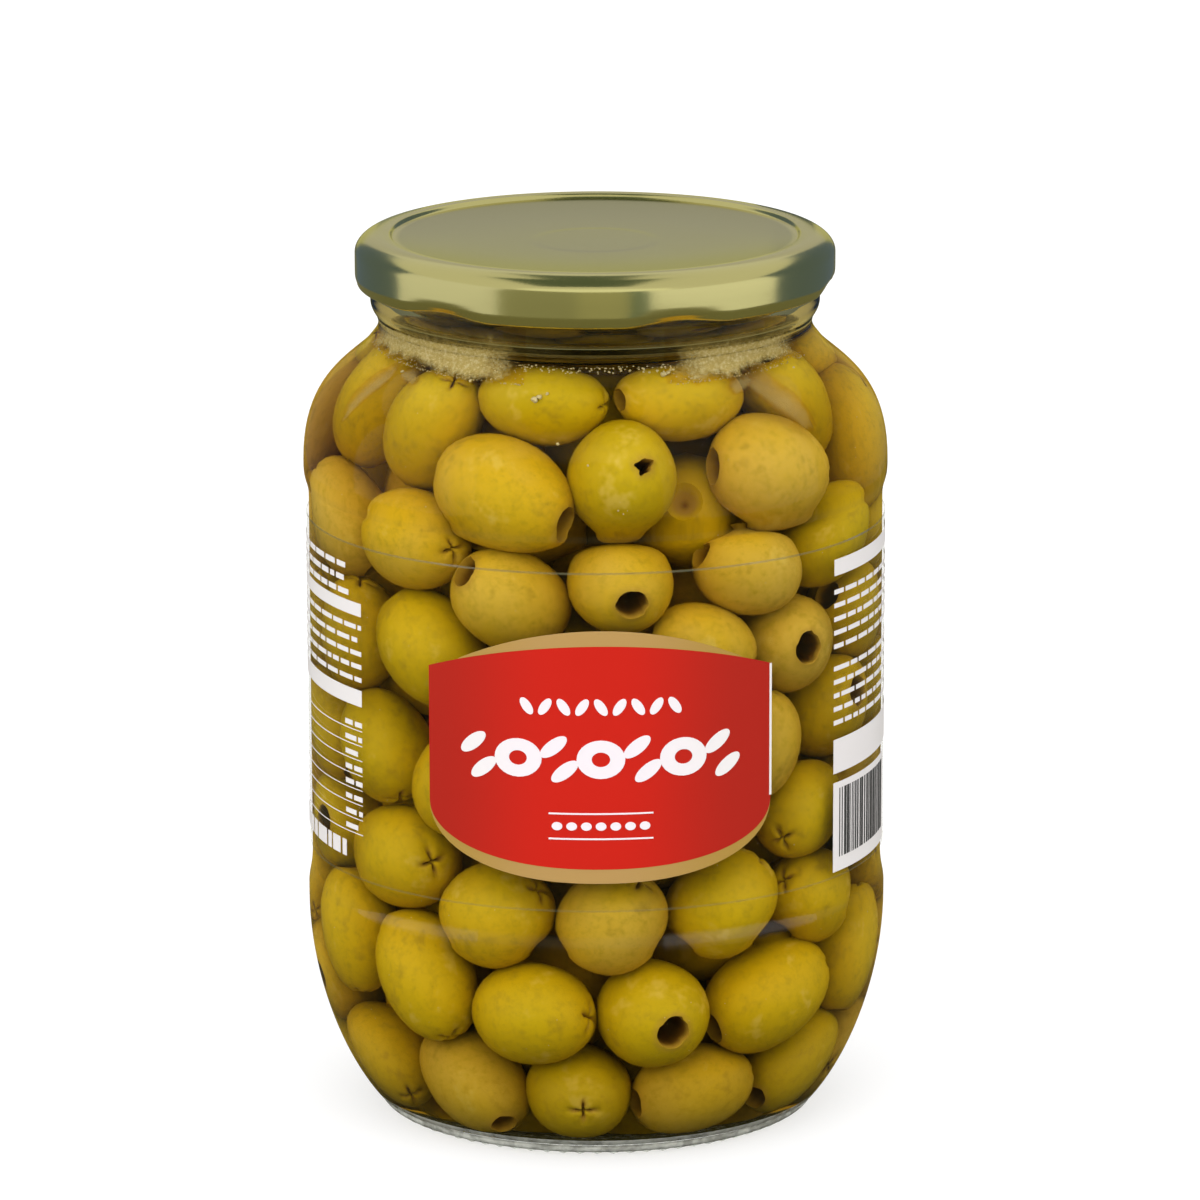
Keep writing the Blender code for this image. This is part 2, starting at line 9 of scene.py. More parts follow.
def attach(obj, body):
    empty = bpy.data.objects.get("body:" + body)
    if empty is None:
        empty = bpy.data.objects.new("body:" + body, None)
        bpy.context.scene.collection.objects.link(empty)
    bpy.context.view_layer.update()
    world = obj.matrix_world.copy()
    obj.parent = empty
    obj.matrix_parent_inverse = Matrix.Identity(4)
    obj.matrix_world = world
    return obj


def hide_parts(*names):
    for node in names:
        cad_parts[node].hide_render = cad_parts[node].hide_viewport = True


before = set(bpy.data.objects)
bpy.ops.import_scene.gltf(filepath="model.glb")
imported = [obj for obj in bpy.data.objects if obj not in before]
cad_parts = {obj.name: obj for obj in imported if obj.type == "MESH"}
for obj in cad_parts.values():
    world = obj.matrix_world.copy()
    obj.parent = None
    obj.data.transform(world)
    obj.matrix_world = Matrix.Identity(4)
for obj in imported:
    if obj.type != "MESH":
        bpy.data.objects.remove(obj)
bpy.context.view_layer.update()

# Looks of a shut glass jar of pitted green olives. Metres, +Z up; the label's front faces -Y.
MM = 0.001

# Glass
FOOT_INNER_RADIUS = 34.0 * MM
FOOT_RADIUS = 38.6 * MM
FOOT_SIDE_TOP = 3.8 * MM
HEEL_RADIUS = 41.2 * MM
PUSH_UP = 2.2 * MM
LOWER_BEAD_RADIUS = 52.8 * MM
LOWER_BEAD_HEIGHT = 39.1 * MM
PANEL_RADIUS = 52.1 * MM
PANEL_BOTTOM = 47.5 * MM
PANEL_TOP = 114.5 * MM
SHOULDER_RADIUS = 53.0 * MM
SHOULDER_HEIGHT = 120.5 * MM
NECK_RADIUS = 39.2 * MM
NECK_BEAD_RADIUS = 40.6 * MM
FINISH_RADIUS = 40.0 * MM
LIP_RADIUS = 37.0 * MM
LIP_HEIGHT = 159.9 * MM
WALL = 2.7 * MM
MOUTH_RADIUS = 36.3 * MM
FLOOR_HEIGHT = 3.7 * MM
FLOOR_CROWN = 1.6 * MM
JAR_SIDES = 240
BEARING_INNER_RADIUS = 34.6 * MM
BEARING_OUTER_RADIUS = 39.6 * MM
BEARING_TOP = 0.8 * MM
KNURL_STEPS = 3
KNURL_LIFT = 0.45 * MM
KNURL_GRAIN = 400.0
STEEP_DOWN = -0.7
UNDERSIDE_TOP = 2.6 * MM
FLOOR_LOWEST = 3.0 * MM
FLOOR_HIGHEST = 10.0 * MM
FLOOR_REACH = 38.0 * MM

# Up to here the inside of the glass is wet and bends no light
WET_HEIGHT = 152.0 * MM

# Brine: it reaches a little way into the glass, so that no air shows between them
BRINE_LEVEL = 145.0 * MM
BRINE_OVERLAP = 0.25 * MM
MENISCUS = 0.7 * MM
BRINE_SIDES = 160
BRINE_IOR = 1.34
GLASS_IOR = 1.52
# Tint of the light that passes straight through the glass, far darker than clear glass: painted shade over
# everything inside the jar
GLASS_SHADE = (0.63, 0.60, 0.50)

# Painted shade near the foot: less light reaches the olives there, so their skin is painted darker from the
# upper height down to the lower
PAINTED_SHADE_BOTTOM = 4.0 * MM
PAINTED_SHADE_TOP = 26.0 * MM

# Cap
CAP_RADIUS = 43.35 * MM
CAP_TOP = 162.0 * MM
CAP_BOTTOM = 152.7 * MM
CAP_CORNER = 3.4 * MM
CAP_SLOPE = 5.0 * MM
CAP_SHEET = 0.5 * MM
CAP_RECESS = 1.6 * MM
CAP_PANEL_RADIUS = 36.6 * MM
DISH_RISE = 0.85 * MM
DISH_POWER = 3.2
DISH_RADIUS = 24.0 * MM
BUTTON_RADIUS = 11.5 * MM
BUTTON_RISE = 0.05 * MM
CAP_HEM = 1.7 * MM
CAP_HEM_SLOPE = 0.35 * MM
CURL_RADIUS = 0.6 * MM
LUG_COUNT = 6
LUG_AZIMUTH = 20.5
LUG_LIFT = 0.9 * MM
LUG_PUSH = 0.6 * MM
LUG_REACH = 13.5
CAP_SIDES = 288

# Film label and its print
FILM_RADIUS = 52.50 * MM
FILM_THICKNESS = 0.08 * MM
FILM_BOTTOM = 49.5 * MM
FILM_TOP = 111.3 * MM
FILM_SIDES = 180
FILM_ROWS = 30
FILM_LAP = 2.0
FILM_SLACK = 0.12 * MM
FILM_SLACK_REACH = 3.0 * MM
INK_RADIUS = 52.58 * MM
INK_THICKNESS = 0.06 * MM
TOP_INK_RADIUS = INK_RADIUS + INK_THICKNESS
SPOT_SIDES = 28
PRINT_AZIMUTH = 0.95
PRINT_HALF_WIDTH = 32.2 * MM
FIELD_TOP = 98.0 * MM
FIELD_TOP_DROP = 5.5 * MM
FIELD_BOTTOM = 57.4 * MM
FIELD_SHOULDER = 68.4 * MM
FIELD_ROUNDNESS = 2.3
BAND_TOP = 100.8 * MM
BAND_BOTTOM = 54.8 * MM
BAND_HALF_WIDTH = 26.0 * MM

# White motif on the red field
LEAF_COUNT = 9
LEAF_SPACING = 3.3 * MM
LEAF_HEIGHT = 87.0 * MM
GARLAND_COUNT = 7
GARLAND_SPACING = 7.4 * MM
GARLAND_HEIGHT = 77.5 * MM
DOT_COUNT = 7
DOT_SPACING = 2.6 * MM
DOT_HEIGHT = 65.3 * MM

# Print at the sides: its ends along the label. Heights of panels and lines, widths of stripes and
# gaps are in millimetres.
PRINT_SEED = 3
LEFT_PRINT = (-84.0 * MM, -49.2 * MM)
RIGHT_PRINT = (48.6 * MM, 84.0 * MM)
NUMBER_WIDTH = 5.5 * MM
LINE_HEIGHT = 0.85 * MM
LEFT_PANELS = ((98.3, 100.7), (81.7, 84.7))
LEFT_HEAD_LINES = (101.6, 104.0, 106.4)
LEFT_LINES = (95.8, 93.4, 91.0, 88.6, 86.2)
STRIPE_WIDTHS = (0.25, 0.25, 0.5, 0.75)
STRIPE_GAPS = (0.25, 0.4, 0.6)

# Where the glass's steps and the film's edges glint: height, half the band's width, extra mirroring
GLASS_GLINTS = ((43.8 * MM, 1.2 * MM, 0.03), (117.2 * MM, 0.8 * MM, 0.04))
FILM_GLINTS = ((FILM_TOP, 0.5 * MM, 0.45), (FILM_BOTTOM, 0.5 * MM, 0.25))

# Foam at the liquid's level: first and last azimuth of each stretch, then its heights and how far
# from its edges it thins out. Patches get their thickness inwards, away from the glass.
FROTH_SPANS = ((-88.0, -19.0), (19.0, 70.0), (112.0, 245.0))
FROTH_LOW = 140.8 * MM
FROTH_HIGH = 150.5 * MM
FROTH_ROWS = 18
FROTH_LOW_FADE = 2.0 * MM
FROTH_HIGH_FADE = 4.0 * MM
FROTH_END_FADE = 14.0
PATCH_THICKNESS = -0.1 * MM

# Bubbles: in the foam for each degree of it, along the liquid's level in front, and stray ones
BUBBLE_SEED = 41
FOAM_BUBBLES = 6
LEVEL_BUBBLES = 110
STRAY_BUBBLES = 220

# Olives
CORE_RADIUS = 40.5 * MM
OLIVE_LENGTH = 20.5 * MM
OLIVE_WIDTH = 17.8 * MM
WALL_CLEARANCE = 0.5 * MM
HEAP_TOP = 144.0 * MM
HEAP_SEED = 7
OLIVE_TRACK_RADIUS = 44.0 * MM
HAND_LAID_FREEDOM = 0.25
SETTLE_STEPS = 120
WALL_STEPS = 12
WALL_STRIDE = 0.7
PUSH_STRIDE = 0.6
STEEPEST_WALL = 0.4
OLIVE_KINDS = 6
TORN_OLIVE = 1
TORN_KIND = 9
TONE_SEED = 23
HEART_RADIUS = 22.0 * MM
HEART_BOTTOM = 8.0 * MM
HEART_TOP = 136.0 * MM

# Second layer of olives, in rows behind those at the glass
INNER_SEED = 11
INNER_KINDS = 4
INNER_FIRST_KIND = 10
INNER_ROWS = 9
INNER_IN_ROW = 8
INNER_RADIUS = 25.0 * MM
INNER_FIRST = 14.0 * MM
INNER_SPACING = 15.0 * MM
INNER_STEPS = 60
INNER_STRIDE = 0.45
INNER_DRIFT = 0.25 * MM
INNER_LOWEST = 13.0 * MM
INNER_HIGHEST = 133.0 * MM

# Crumbs of pulp at the glass (azimuth, height, radius) and scraps of loose skin (azimuth, height,
# length, width, tilt), in degrees and millimetres
PULP_CRUMBS = (
    (-15.0, 138.6, 0.60), (-14.0, 139.0, 0.45), (-12.2, 139.6, 0.30), (18.6, 142.6, 0.50),
    (20.0, 142.9, 0.40), (21.5, 143.4, 0.30), (-8.0, 132.6, 0.25), (-1.5, 129.5, 0.18),
    (4.5, 122.0, 0.16), (5.5, 121.4, 0.14), (26.0, 141.5, 0.22), (-34.0, 140.6, 0.30),
    (-58.0, 139.6, 0.35), (61.0, 139.8, 0.30), (150.0, 138.0, 0.45), (-140.0, 140.0, 0.40),
)
LOOSE_SKINS = (
    (-63.5, 135.6, 10.0, 5.0, 62.0),
    (-54.0, 139.0, 6.0, 2.6, -8.0),
    (47.0, 136.2, 13.0, 7.5, -48.0),
    (40.0, 139.3, 7.0, 3.0, 15.0),
    (160.0, 131.0, 10.0, 5.0, 30.0),
    (-128.0, 127.0, 9.0, 4.0, -55.0),
)

# Studio, in metres. Soft boxes: name, place, width, height, power
FLOOR_SIDE = 12.0
LIT_POINT = (0.0, 0.0, 0.09)
SOFT_BOXES = (
    ("key_box", (-0.85, -1.2, 0.5), 0.9, 0.9, 7.8),
    ("fill_box", (1.1, -0.8, 0.5), 0.5, 0.9, 3.3),
    ("top_box", (0.0, -0.7, 1.2), 1.2, 0.8, 5.0),
)

# Cards that the cap mirrors. Standing ones: name, tone, azimuth, distance, half their width in
# degrees, lower and upper edge
BOARDS = (
    ("left_flag", (0.10, 0.14, 0.19), -132.0, 0.55, 27.0, 0.0, 0.5),
    ("right_flag", (0.10, 0.14, 0.19), 127.0, 0.50, 34.0, 0.0, 0.5),
    ("left_end_flag", (0.22, 0.24, 0.16), -157.0, 0.105, 3.5, 0.152, 0.172),
    ("right_end_flag", (0.06, 0.08, 0.07), 157.5, 0.105, 4.5, 0.152, 0.174),
    ("front_card", (0.31, 0.31, 0.21), -27.0, 0.60, 19.0, 0.0, 0.5),
    ("middle_card", (0.40, 0.39, 0.25), 4.0, 0.61, 12.0, 0.0, 0.5),
    ("streak_flag", (0.14, 0.19, 0.17), 20.5, 0.58, 4.5, 0.0, 0.5),
    ("left_board", (0.80, 0.80, 0.80), -75.0, 0.55, 30.0, 0.0, 0.5),
    ("right_board", (0.92, 0.92, 0.90), 59.0, 0.60, 35.0, 0.0, 0.5),
    ("back_card", (0.50, 0.48, 0.20), 180.0, 0.90, 50.0, 0.10, 0.309),
    ("back_strip", (0.78, 0.77, 0.55), 180.0, 0.90, 50.0, 0.309, 0.317),
    ("back_sky", (0.50, 0.485, 0.425), 180.0, 0.90, 50.0, 0.317, 0.62),
    ("front_sky", (1.0, 1.0, 0.92), 0.0, 0.90, 40.0, 0.60, 1.30),
)

# Level ones overhead: name, tone, left, right, near and far edge, height
CEILINGS = (
    ("near_flag", (0.10, 0.13, 0.10), -0.22, 0.13, -0.27, 0.22, 0.75),
    ("far_flag", (0.10, 0.13, 0.10), -0.10, 0.06, 0.22, 0.66, 0.75),
)

# Camera: fitted to the rings of the jar
PICTURE_SIDE = 1200.0
LENS_PIXELS = 7500.0
SENSOR_WIDTH = 36.0
CAMERA_PITCH = 13.75
CAMERA_ROLL = 0.12
CAMERA_DISTANCE = 1365.0 * MM
AIM_HEIGHT = 104.83 * MM
AIM_RIGHT = -0.764 * MM
AIM_UP = -10.92 * MM

# Olives that show in front: azimuth, height, tilt of the long axis from level, lean of that axis
# out towards the glass, length and width, and whether the pit hole shows. Degrees and millimetres.
FRONT_OLIVES = (
    (-24.5, 124.0, -15, 8, 25.5, 17.6, True),
    (6.5, 126.0, 55, 58, 20.5, 17.6, True),
    (37.0, 124.5, -10, 15, 23.0, 16.8, False),
    (-13.5, 135.5, -2, 5, 23.0, 15.5, False),
    (22.0, 136.0, -3, 0, 23.0, 15.5, False),
    (-46.0, 128.5, 60, 10, 22.0, 17.0, False),
    (-76.0, 124.0, 80, 0, 22.0, 17.5, False),
    (66.0, 126.0, -65, 0, 22.0, 17.0, False),
    (-46.0, 108.7, 2, 10, 22.5, 17.8, False),
    (-15.5, 104.4, 140, 35, 21.5, 18.2, True),
    (11.0, 107.0, -60, 75, 20.5, 17.6, True),
    (36.0, 107.8, -24, 10, 20.5, 16.8, False),
    (68.0, 108.0, 30, 20, 21.5, 17.0, False),
    (-41.0, 90.5, -48, 8, 22.5, 18.8, False),
    (22.5, 93.0, -20, 10, 20.0, 17.0, False),
    (47.5, 92.0, 175, 76, 21.5, 18.0, True),
    (45.0, 72.5, 78, 5, 21.0, 18.2, False),
    (-61.0, 75.0, -55, 5, 21.5, 18.0, False),
    (-70.0, 93.0, 80, 0, 21.5, 17.5, False),
    (-50.0, 54.5, 8, 20, 23.0, 19.4, False),
    (-76.0, 52.5, 10, 60, 20.5, 17.5, True),
    (-22.5, 47.5, 35, 5, 20.5, 19.0, False),
    (5.0, 46.0, 60, 20, 20.0, 18.5, False),
    (31.0, 51.0, 50, 10, 20.8, 18.6, False),
    (-68.0, 32.5, -78, 0, 22.5, 17.0, False),
    (-43.5, 33.5, -58, 5, 24.0, 17.8, False),
    (-15.5, 28.5, 2, 10, 21.5, 18.2, False),
    (14.0, 28.7, -50, 74, 20.5, 18.8, True),
    (42.0, 31.0, 20, 10, 24.5, 18.6, False),
    (70.0, 33.0, 75, 5, 22.0, 17.5, False),
    (-66.0, 17.5, -40, 5, 20.0, 16.8, False),
    (-38.0, 14.0, -46, 15, 22.5, 17.2, True),
    (-2.5, 13.6, -60, 72, 19.5, 17.4, False),
    (27.0, 14.0, 8, 5, 21.5, 16.8, False),
    (57.0, 17.0, 30, 5, 21.5, 16.8, False),
    (-18.0, 81.5, 20, 5, 20.5, 18.0, False),
    (4.5, 86.5, -60, 20, 20.0, 17.8, False),
    (15.0, 69.0, 30, 5, 20.5, 17.8, False),
    (-16.0, 63.0, -10, 10, 20.0, 17.6, False),
    (-35.0, 73.0, 65, 5, 20.0, 17.4, False),
)

# Rows of the olives round the sides and back: height and how many go round
SIDE_ROWS = (
    (13.5, 11), (29.5, 13), (46.0, 14), (62.0, 14), (78.0, 14), (93.5, 14), (109.5, 14), (125.0, 13),
    (136.0, 9),
)


class Wire:
    """One output of a shader node, with which sums are written as on numbers."""

    def __init__(self, recipe, socket):
        self.recipe = recipe
        self.socket = socket

    def __add__(self, other):
        return self.recipe.maths("ADD", self, other)

    def __radd__(self, other):
        return self.recipe.maths("ADD", other, self)

    def __sub__(self, other):
        return self.recipe.maths("SUBTRACT", self, other)

    def __rsub__(self, other):
        return self.recipe.maths("SUBTRACT", other, self)

    def __mul__(self, other):
        return self.recipe.maths("MULTIPLY", self, other)

    def __rmul__(self, other):
        return self.recipe.maths("MULTIPLY", other, self)


class Recipe:
    """A material or sky under way: a node is added by its type, its settings and its inputs."""

    def __init__(self, name, kind="materials"):
        self.block = getattr(bpy.data, kind).new(name)
        self.block.use_nodes = True
        self.tree = self.block.node_tree
        self.tree.nodes.clear()

    def add(self, kind, settings=None, inputs=None, output=0):
        node = self.tree.nodes.new("ShaderNode" + kind)
        for key, value in (settings or {}).items():
            if key == "stops":
                for _ in range(len(value) - 2):
                    node.color_ramp.elements.new(0.5)
                for element, (position, colour) in zip(node.color_ramp.elements, value):
                    element.position = position
                    element.color = (*colour, 1.0)
            else:
                setattr(node, key, value)
        for key, value in (inputs or {}).items():
            if isinstance(value, Wire):
                self.tree.links.new(value.socket, node.inputs[key])
            elif isinstance(value, tuple) and node.inputs[key].type == "RGBA":
                node.inputs[key].default_value = (*value, 1.0)
            else:
                node.inputs[key].default_value = value
        return Wire(self, node.outputs[output])

    def maths(self, operation, first, second=0.0):
        return self.add("Math", {"operation": operation}, {0: first, 1: second})

    def blend(self, share, first, second):
        """Colour between two others."""
        return self.add("Mix", {"data_type": "RGBA"}, {0: share, 6: first, 7: second}, 2)

    def mix(self, share, first, second):
        """Surface between two others."""
        return self.add("MixShader", inputs={0: share, 1: first, 2: second})

    def clear(self, tint):
        return self.add("BsdfTransparent", inputs={"Color": tint})

    def gloss(self, roughness):
        return self.add("BsdfGlossy", inputs={"Color": (1.0, 1.0, 1.0), "Roughness": roughness})

    def bend(self, colour, ior, roughness=0.0):
        return self.add("BsdfRefraction", inputs={"Color": colour, "Roughness": roughness, "IOR": ior})

    def carried(self, attribute):
        """Value that the piece's mesh carries."""
        return self.add("Attribute", {"attribute_name": attribute}, output="Fac")

    def ray(self, kind):
        """1 for rays of one kind."""
        return self.add("LightPath", output="Is " + kind + " Ray")

    def after_bounce(self):
        """1 once the light's way has met a dull surface."""
        return self.maths("MINIMUM", self.add("LightPath", output="Diffuse Depth"), 1.0)

    def place(self):
        return self.add("TexCoord", output="Object")

    def coordinate(self, axis, vector=None):
        return self.add("SeparateXYZ", inputs={0: vector or self.place()}, output=axis)

    def cloud(self, scale, detail=3.0, roughness=0.5, place=None):
        """Soft noise over the piece; scale is in blotches a metre."""
        inputs = {"Vector": place or self.place(), "Scale": scale, "Detail": detail, "Roughness": roughness}
        return self.add("TexNoise", inputs=inputs)

    def steps(self, value, low, high):
        """0 below low, 1 above high, with a soft rise between."""
        settings = {"interpolation_type": "SMOOTHSTEP"}
        return self.add("MapRange", settings, {0: value, 1: low, 2: high})

    def bump(self, height, depth, strength=1.0):
        return self.add("Bump", inputs={"Height": height, "Distance": depth, "Strength": strength})

    def principled(self, **inputs):
        named = {key.replace("_", " "): value for key, value in inputs.items()}
        return self.add("BsdfPrincipled", inputs=named)

    def done(self, surface, volume=None):
        inputs = {"Surface": surface}
        if volume:
            inputs["Volume"] = volume
        kind = "World" if isinstance(self.block, bpy.types.World) else "Material"
        output = self.tree.nodes.new("ShaderNodeOutput" + kind)
        for key, wire in inputs.items():
            self.tree.links.new(wire.socket, output.inputs[key])
        return self.block


def let_light_through(recipe, shader, tint):
    """Shadow and bounced rays pass straight on, so that light reaches what stands behind the glass."""
    straight = recipe.ray("Shadow") + recipe.ray("Diffuse")
    return recipe.mix(straight, shader, recipe.clear(tint))


def sheen_share(recipe, head_on, edge, bands=()):
    """How much a clear face mirrors: a little head on, much where it turns away and in some bands.

    Each band is (height, half its width, how much more it mirrors).
    """
    facing = recipe.add("LayerWeight", inputs={"Blend": 0.5}, output="Facing")
    share = recipe.maths("POWER", facing, 4.0) * edge + head_on
    height = recipe.coordinate("Z")
    for middle, reach, extra in bands:
        away = recipe.maths("ABSOLUTE", height - middle)
        share = share + (1.0 - recipe.steps(away, reach * 0.5, reach)) * extra
    return share


def see_through(name):
    recipe = Recipe(name)
    return recipe.done(recipe.clear((1.0, 1.0, 1.0)))


def olive_brine(name, ior, head_on, edge):
    """The liquid: it tints what stands in it and bends light by what it bends against."""
    recipe = Recipe(name)
    share = sheen_share(recipe, head_on, edge)
    surface = recipe.mix(share, recipe.bend((1.0, 1.0, 1.0), ior), recipe.gloss(0.05))
    tint = recipe.add("VolumeAbsorption", inputs={"Color": (0.84, 0.70, 0.0), "Density": 42.0})
    return recipe.done(let_light_through(recipe, surface, (1.0, 1.0, 1.0)), tint)


def flint_glass():
    """Clear glass, which mirrors little of the studio from the front."""
    recipe = Recipe("flint_glass")
    tint = (0.985, 0.995, 0.985)
    share = sheen_share(recipe, 0.010, 0.35, GLASS_GLINTS)
    outside = recipe.mix(share, recipe.bend(tint, GLASS_IOR), recipe.gloss(0.02))
    from_within = recipe.add("BsdfGlass", inputs={"Color": tint, "Roughness": 0.0, "IOR": GLASS_IOR})
    leaving = recipe.add("NewGeometry", output="Backfacing")
    glass = recipe.mix(leaving, outside, from_within)
    return recipe.done(let_light_through(recipe, glass, GLASS_SHADE))


def stippled_glass():
    """Underside of the jar, roughened where it stands."""
    recipe = Recipe("stippled_glass")
    frost = recipe.principled(Base_Color=(0.85, 0.88, 0.86), Roughness=0.6)
    share = recipe.steps(recipe.cloud(700.0), 0.4, 0.7) * 0.4 + 0.05
    return recipe.done(recipe.mix(share, recipe.clear((0.95, 0.97, 0.95)), frost))


def knurled_glass():
    """Side of the foot, pale where its ribs and ground edge scatter the light."""
    recipe = Recipe("knurled_glass")
    bend = recipe.bend((0.98, 0.99, 0.98), GLASS_IOR, 0.05)
    pale = recipe.principled(Base_Color=(0.62, 0.63, 0.58), Roughness=0.25)
    share = recipe.steps(recipe.cloud(420.0, 3.0), 0.35, 0.65) * 0.45 + 0.40
    return recipe.done(let_light_through(recipe, recipe.mix(share, bend, pale), GLASS_SHADE))


def foam():
    """Foam of tiny bubbles, thinner towards its edges, where it breaks up into grains."""
    recipe = Recipe("foam")
    fine = recipe.cloud(1500.0, 5.0, 0.75)
    patches = recipe.cloud(330.0, 4.0, 0.6)
    colour = recipe.blend(recipe.steps(fine, 0.42, 0.72), (0.72, 0.55, 0.17), (1.0, 0.90, 0.54))
    thick = recipe.principled(Base_Color=colour, Roughness=0.6, Normal=recipe.bump(fine, 0.08 * MM))
    dense = recipe.carried("body") * 0.7 + patches * 0.5 + fine * 0.5
    share = recipe.steps(dense, 0.60, 1.30) * 0.75
    return recipe.done(recipe.mix(share, recipe.clear((0.97, 0.93, 0.80)), thick))


def loose_skin():
    """Torn olive skin, thin and pale, that fades out where it clings to the glass."""
    recipe = Recipe("loose_skin")
    streaks = recipe.cloud(220.0, 4.0, 0.6)
    colour = recipe.blend(streaks, (0.50, 0.36, 0.10), (0.66, 0.54, 0.26))
    thick = recipe.principled(Base_Color=colour, Roughness=0.45)
    share = recipe.steps(streaks * 0.7 + recipe.carried("body"), 0.4, 1.6) * 0.30
    return recipe.done(recipe.mix(share, recipe.clear((0.97, 0.93, 0.84)), thick))


def olive_skin():
    """Skin from ochre to olive green, with tan blotches, bruises and pores, and painted shade towards the
    foot; flesh where it is cut, painted darker as shade deeper in the pit hole and in the cross's cuts.
    """
    recipe = Recipe("olive_skin")
    blotches = recipe.cloud(75.0, 2.0)
    bruises = recipe.cloud(130.0, 3.0, 0.65)
    mottle = recipe.cloud(520.0, 3.0, 0.7)
    pores = recipe.add("TexVoronoi", inputs={"Vector": recipe.place(), "Scale": 900.0})
    hue = recipe.steps(blotches * 0.5 + recipe.carried("tone") * 0.8, 0.2, 1.05)
    stops = ((0.0, (0.63, 0.46, 0.004)), (0.35, (0.69, 0.48, 0.005)), (0.7, (0.73, 0.48, 0.012)),
             (1.0, (0.72, 0.485, 0.07)))
    skin = recipe.add("ValToRGB", {"stops": stops}, {0: hue})
    skin = recipe.blend(recipe.steps(mottle, 0.42, 0.8) * 0.5, skin, (0.44, 0.30, 0.008))
    skin = recipe.blend(recipe.steps(bruises, 0.56, 0.72) * 0.30, skin, (0.36, 0.22, 0.02))
    skin = recipe.blend((1.0 - recipe.steps(bruises, 0.28, 0.42)) * 0.6, skin, (0.80, 0.60, 0.12))
    skin = recipe.blend((1.0 - recipe.steps(pores, 0.05, 0.22)) * 0.18, skin, (0.28, 0.19, 0.01))
    # Painted shade: the skin is painted darker towards the foot
    painted_shade_low = 1.0 - recipe.steps(recipe.coordinate("Z"), PAINTED_SHADE_BOTTOM, PAINTED_SHADE_TOP)
    skin = recipe.blend(painted_shade_low * 0.5, skin, (0.30, 0.20, 0.008))
    # Painted shade: the flesh is painted darker the deeper it lies in the pit hole and in the cross's cuts
    flesh = recipe.carried("flesh")
    inside = recipe.blend(recipe.steps(flesh, 0.5, 1.0), (0.50, 0.30, 0.04), (0.20, 0.085, 0.010))
    colour = recipe.blend(recipe.steps(flesh, 0.05, 0.5), skin, inside)
    normal = recipe.bump(mottle * 0.5 + bruises * 0.8, 0.4 * MM, 0.35)
    return recipe.done(recipe.principled(Base_Color=colour, Roughness=0.45, IOR=1.26, Normal=normal))


def heap_dark():
    """The heart of the heap, which shows only as shade between the olives."""
    recipe = Recipe("heap_dark")
    colour = recipe.blend(recipe.cloud(60.0, 3.0), (0.28, 0.19, 0.02), (0.48, 0.34, 0.04))
    return recipe.done(recipe.principled(Base_Color=colour, Roughness=0.8))


def gold_tin():
    """Tinplate under a pale gold lacquer, duller on the flat panel."""
    recipe = Recipe("gold_tin")
    across = recipe.coordinate("X")
    depth = recipe.coordinate("Y")
    radius = recipe.maths("SQRT", across * across + depth * depth)
    panel = 1.0 - recipe.steps(radius, CAP_PANEL_RADIUS - 1.6 * MM, CAP_PANEL_RADIUS - 0.4 * MM)
    panel = panel * recipe.steps(recipe.coordinate("Z"), CAP_TOP - 2.6 * MM, CAP_TOP - 1.8 * MM)
    grain = recipe.cloud(900.0, 4.0, 0.6)
    wear = recipe.cloud(40.0, 3.0)
    skirt_colour = recipe.blend(wear * 0.5, (0.65, 0.60, 0.26), (0.58, 0.54, 0.24))
    colour = recipe.blend(panel, skirt_colour, (0.40, 0.38, 0.16))
    roughness = 0.15 - panel * 0.02 + wear * 0.05
    normal = recipe.bump(grain, 0.02 * MM, 0.3)
    return recipe.done(recipe.principled(Base_Color=colour, Metallic=1.0, Roughness=roughness,
                                         Normal=normal))


def clear_film():
    """Glossy clear film: it shows only where it catches the light."""
    recipe = Recipe("clear_film")
    share = sheen_share(recipe, 0.006, 0.22, FILM_GLINTS)
    film = recipe.mix(share, recipe.clear((0.985, 0.985, 0.975)), recipe.gloss(0.08))
    return recipe.done(let_light_through(recipe, film, (1.0, 1.0, 1.0)))


def ink(name, colour, deep_and_shade):
    """Printed ink, a shade deeper in patches, and painted darker towards the print's sides as shade where
    the jar turns from the light.
    """
    recipe = Recipe(name)
    patches = recipe.steps(recipe.cloud(35.0, 3.0), 0.3, 0.9)
    # Painted shade: the ink darkens from 6 mm to 27 mm off the print's middle; the patches add a little
    # unevenness of the ink itself
    aside = recipe.maths("ABSOLUTE", recipe.coordinate("X") + 1.5 * MM)
    depth = recipe.steps(aside, 6.0 * MM, 27.0 * MM) * 0.85 + patches * 0.15
    colour = recipe.blend(depth, colour, deep_and_shade)
    normal = recipe.bump(recipe.cloud(1500.0, 2.0), 0.02 * MM, 0.2)
    return recipe.done(recipe.principled(Base_Color=colour, Roughness=0.45, IOR=1.25, Normal=normal))


def pale_pulp():
    """Bubbles and crumbs of pulp."""
    recipe = Recipe("pale_pulp")
    colour = recipe.blend(recipe.cloud(700.0), (0.82, 0.72, 0.42), (0.62, 0.50, 0.24))
    return recipe.done(recipe.principled(Base_Color=colour, Roughness=0.5))


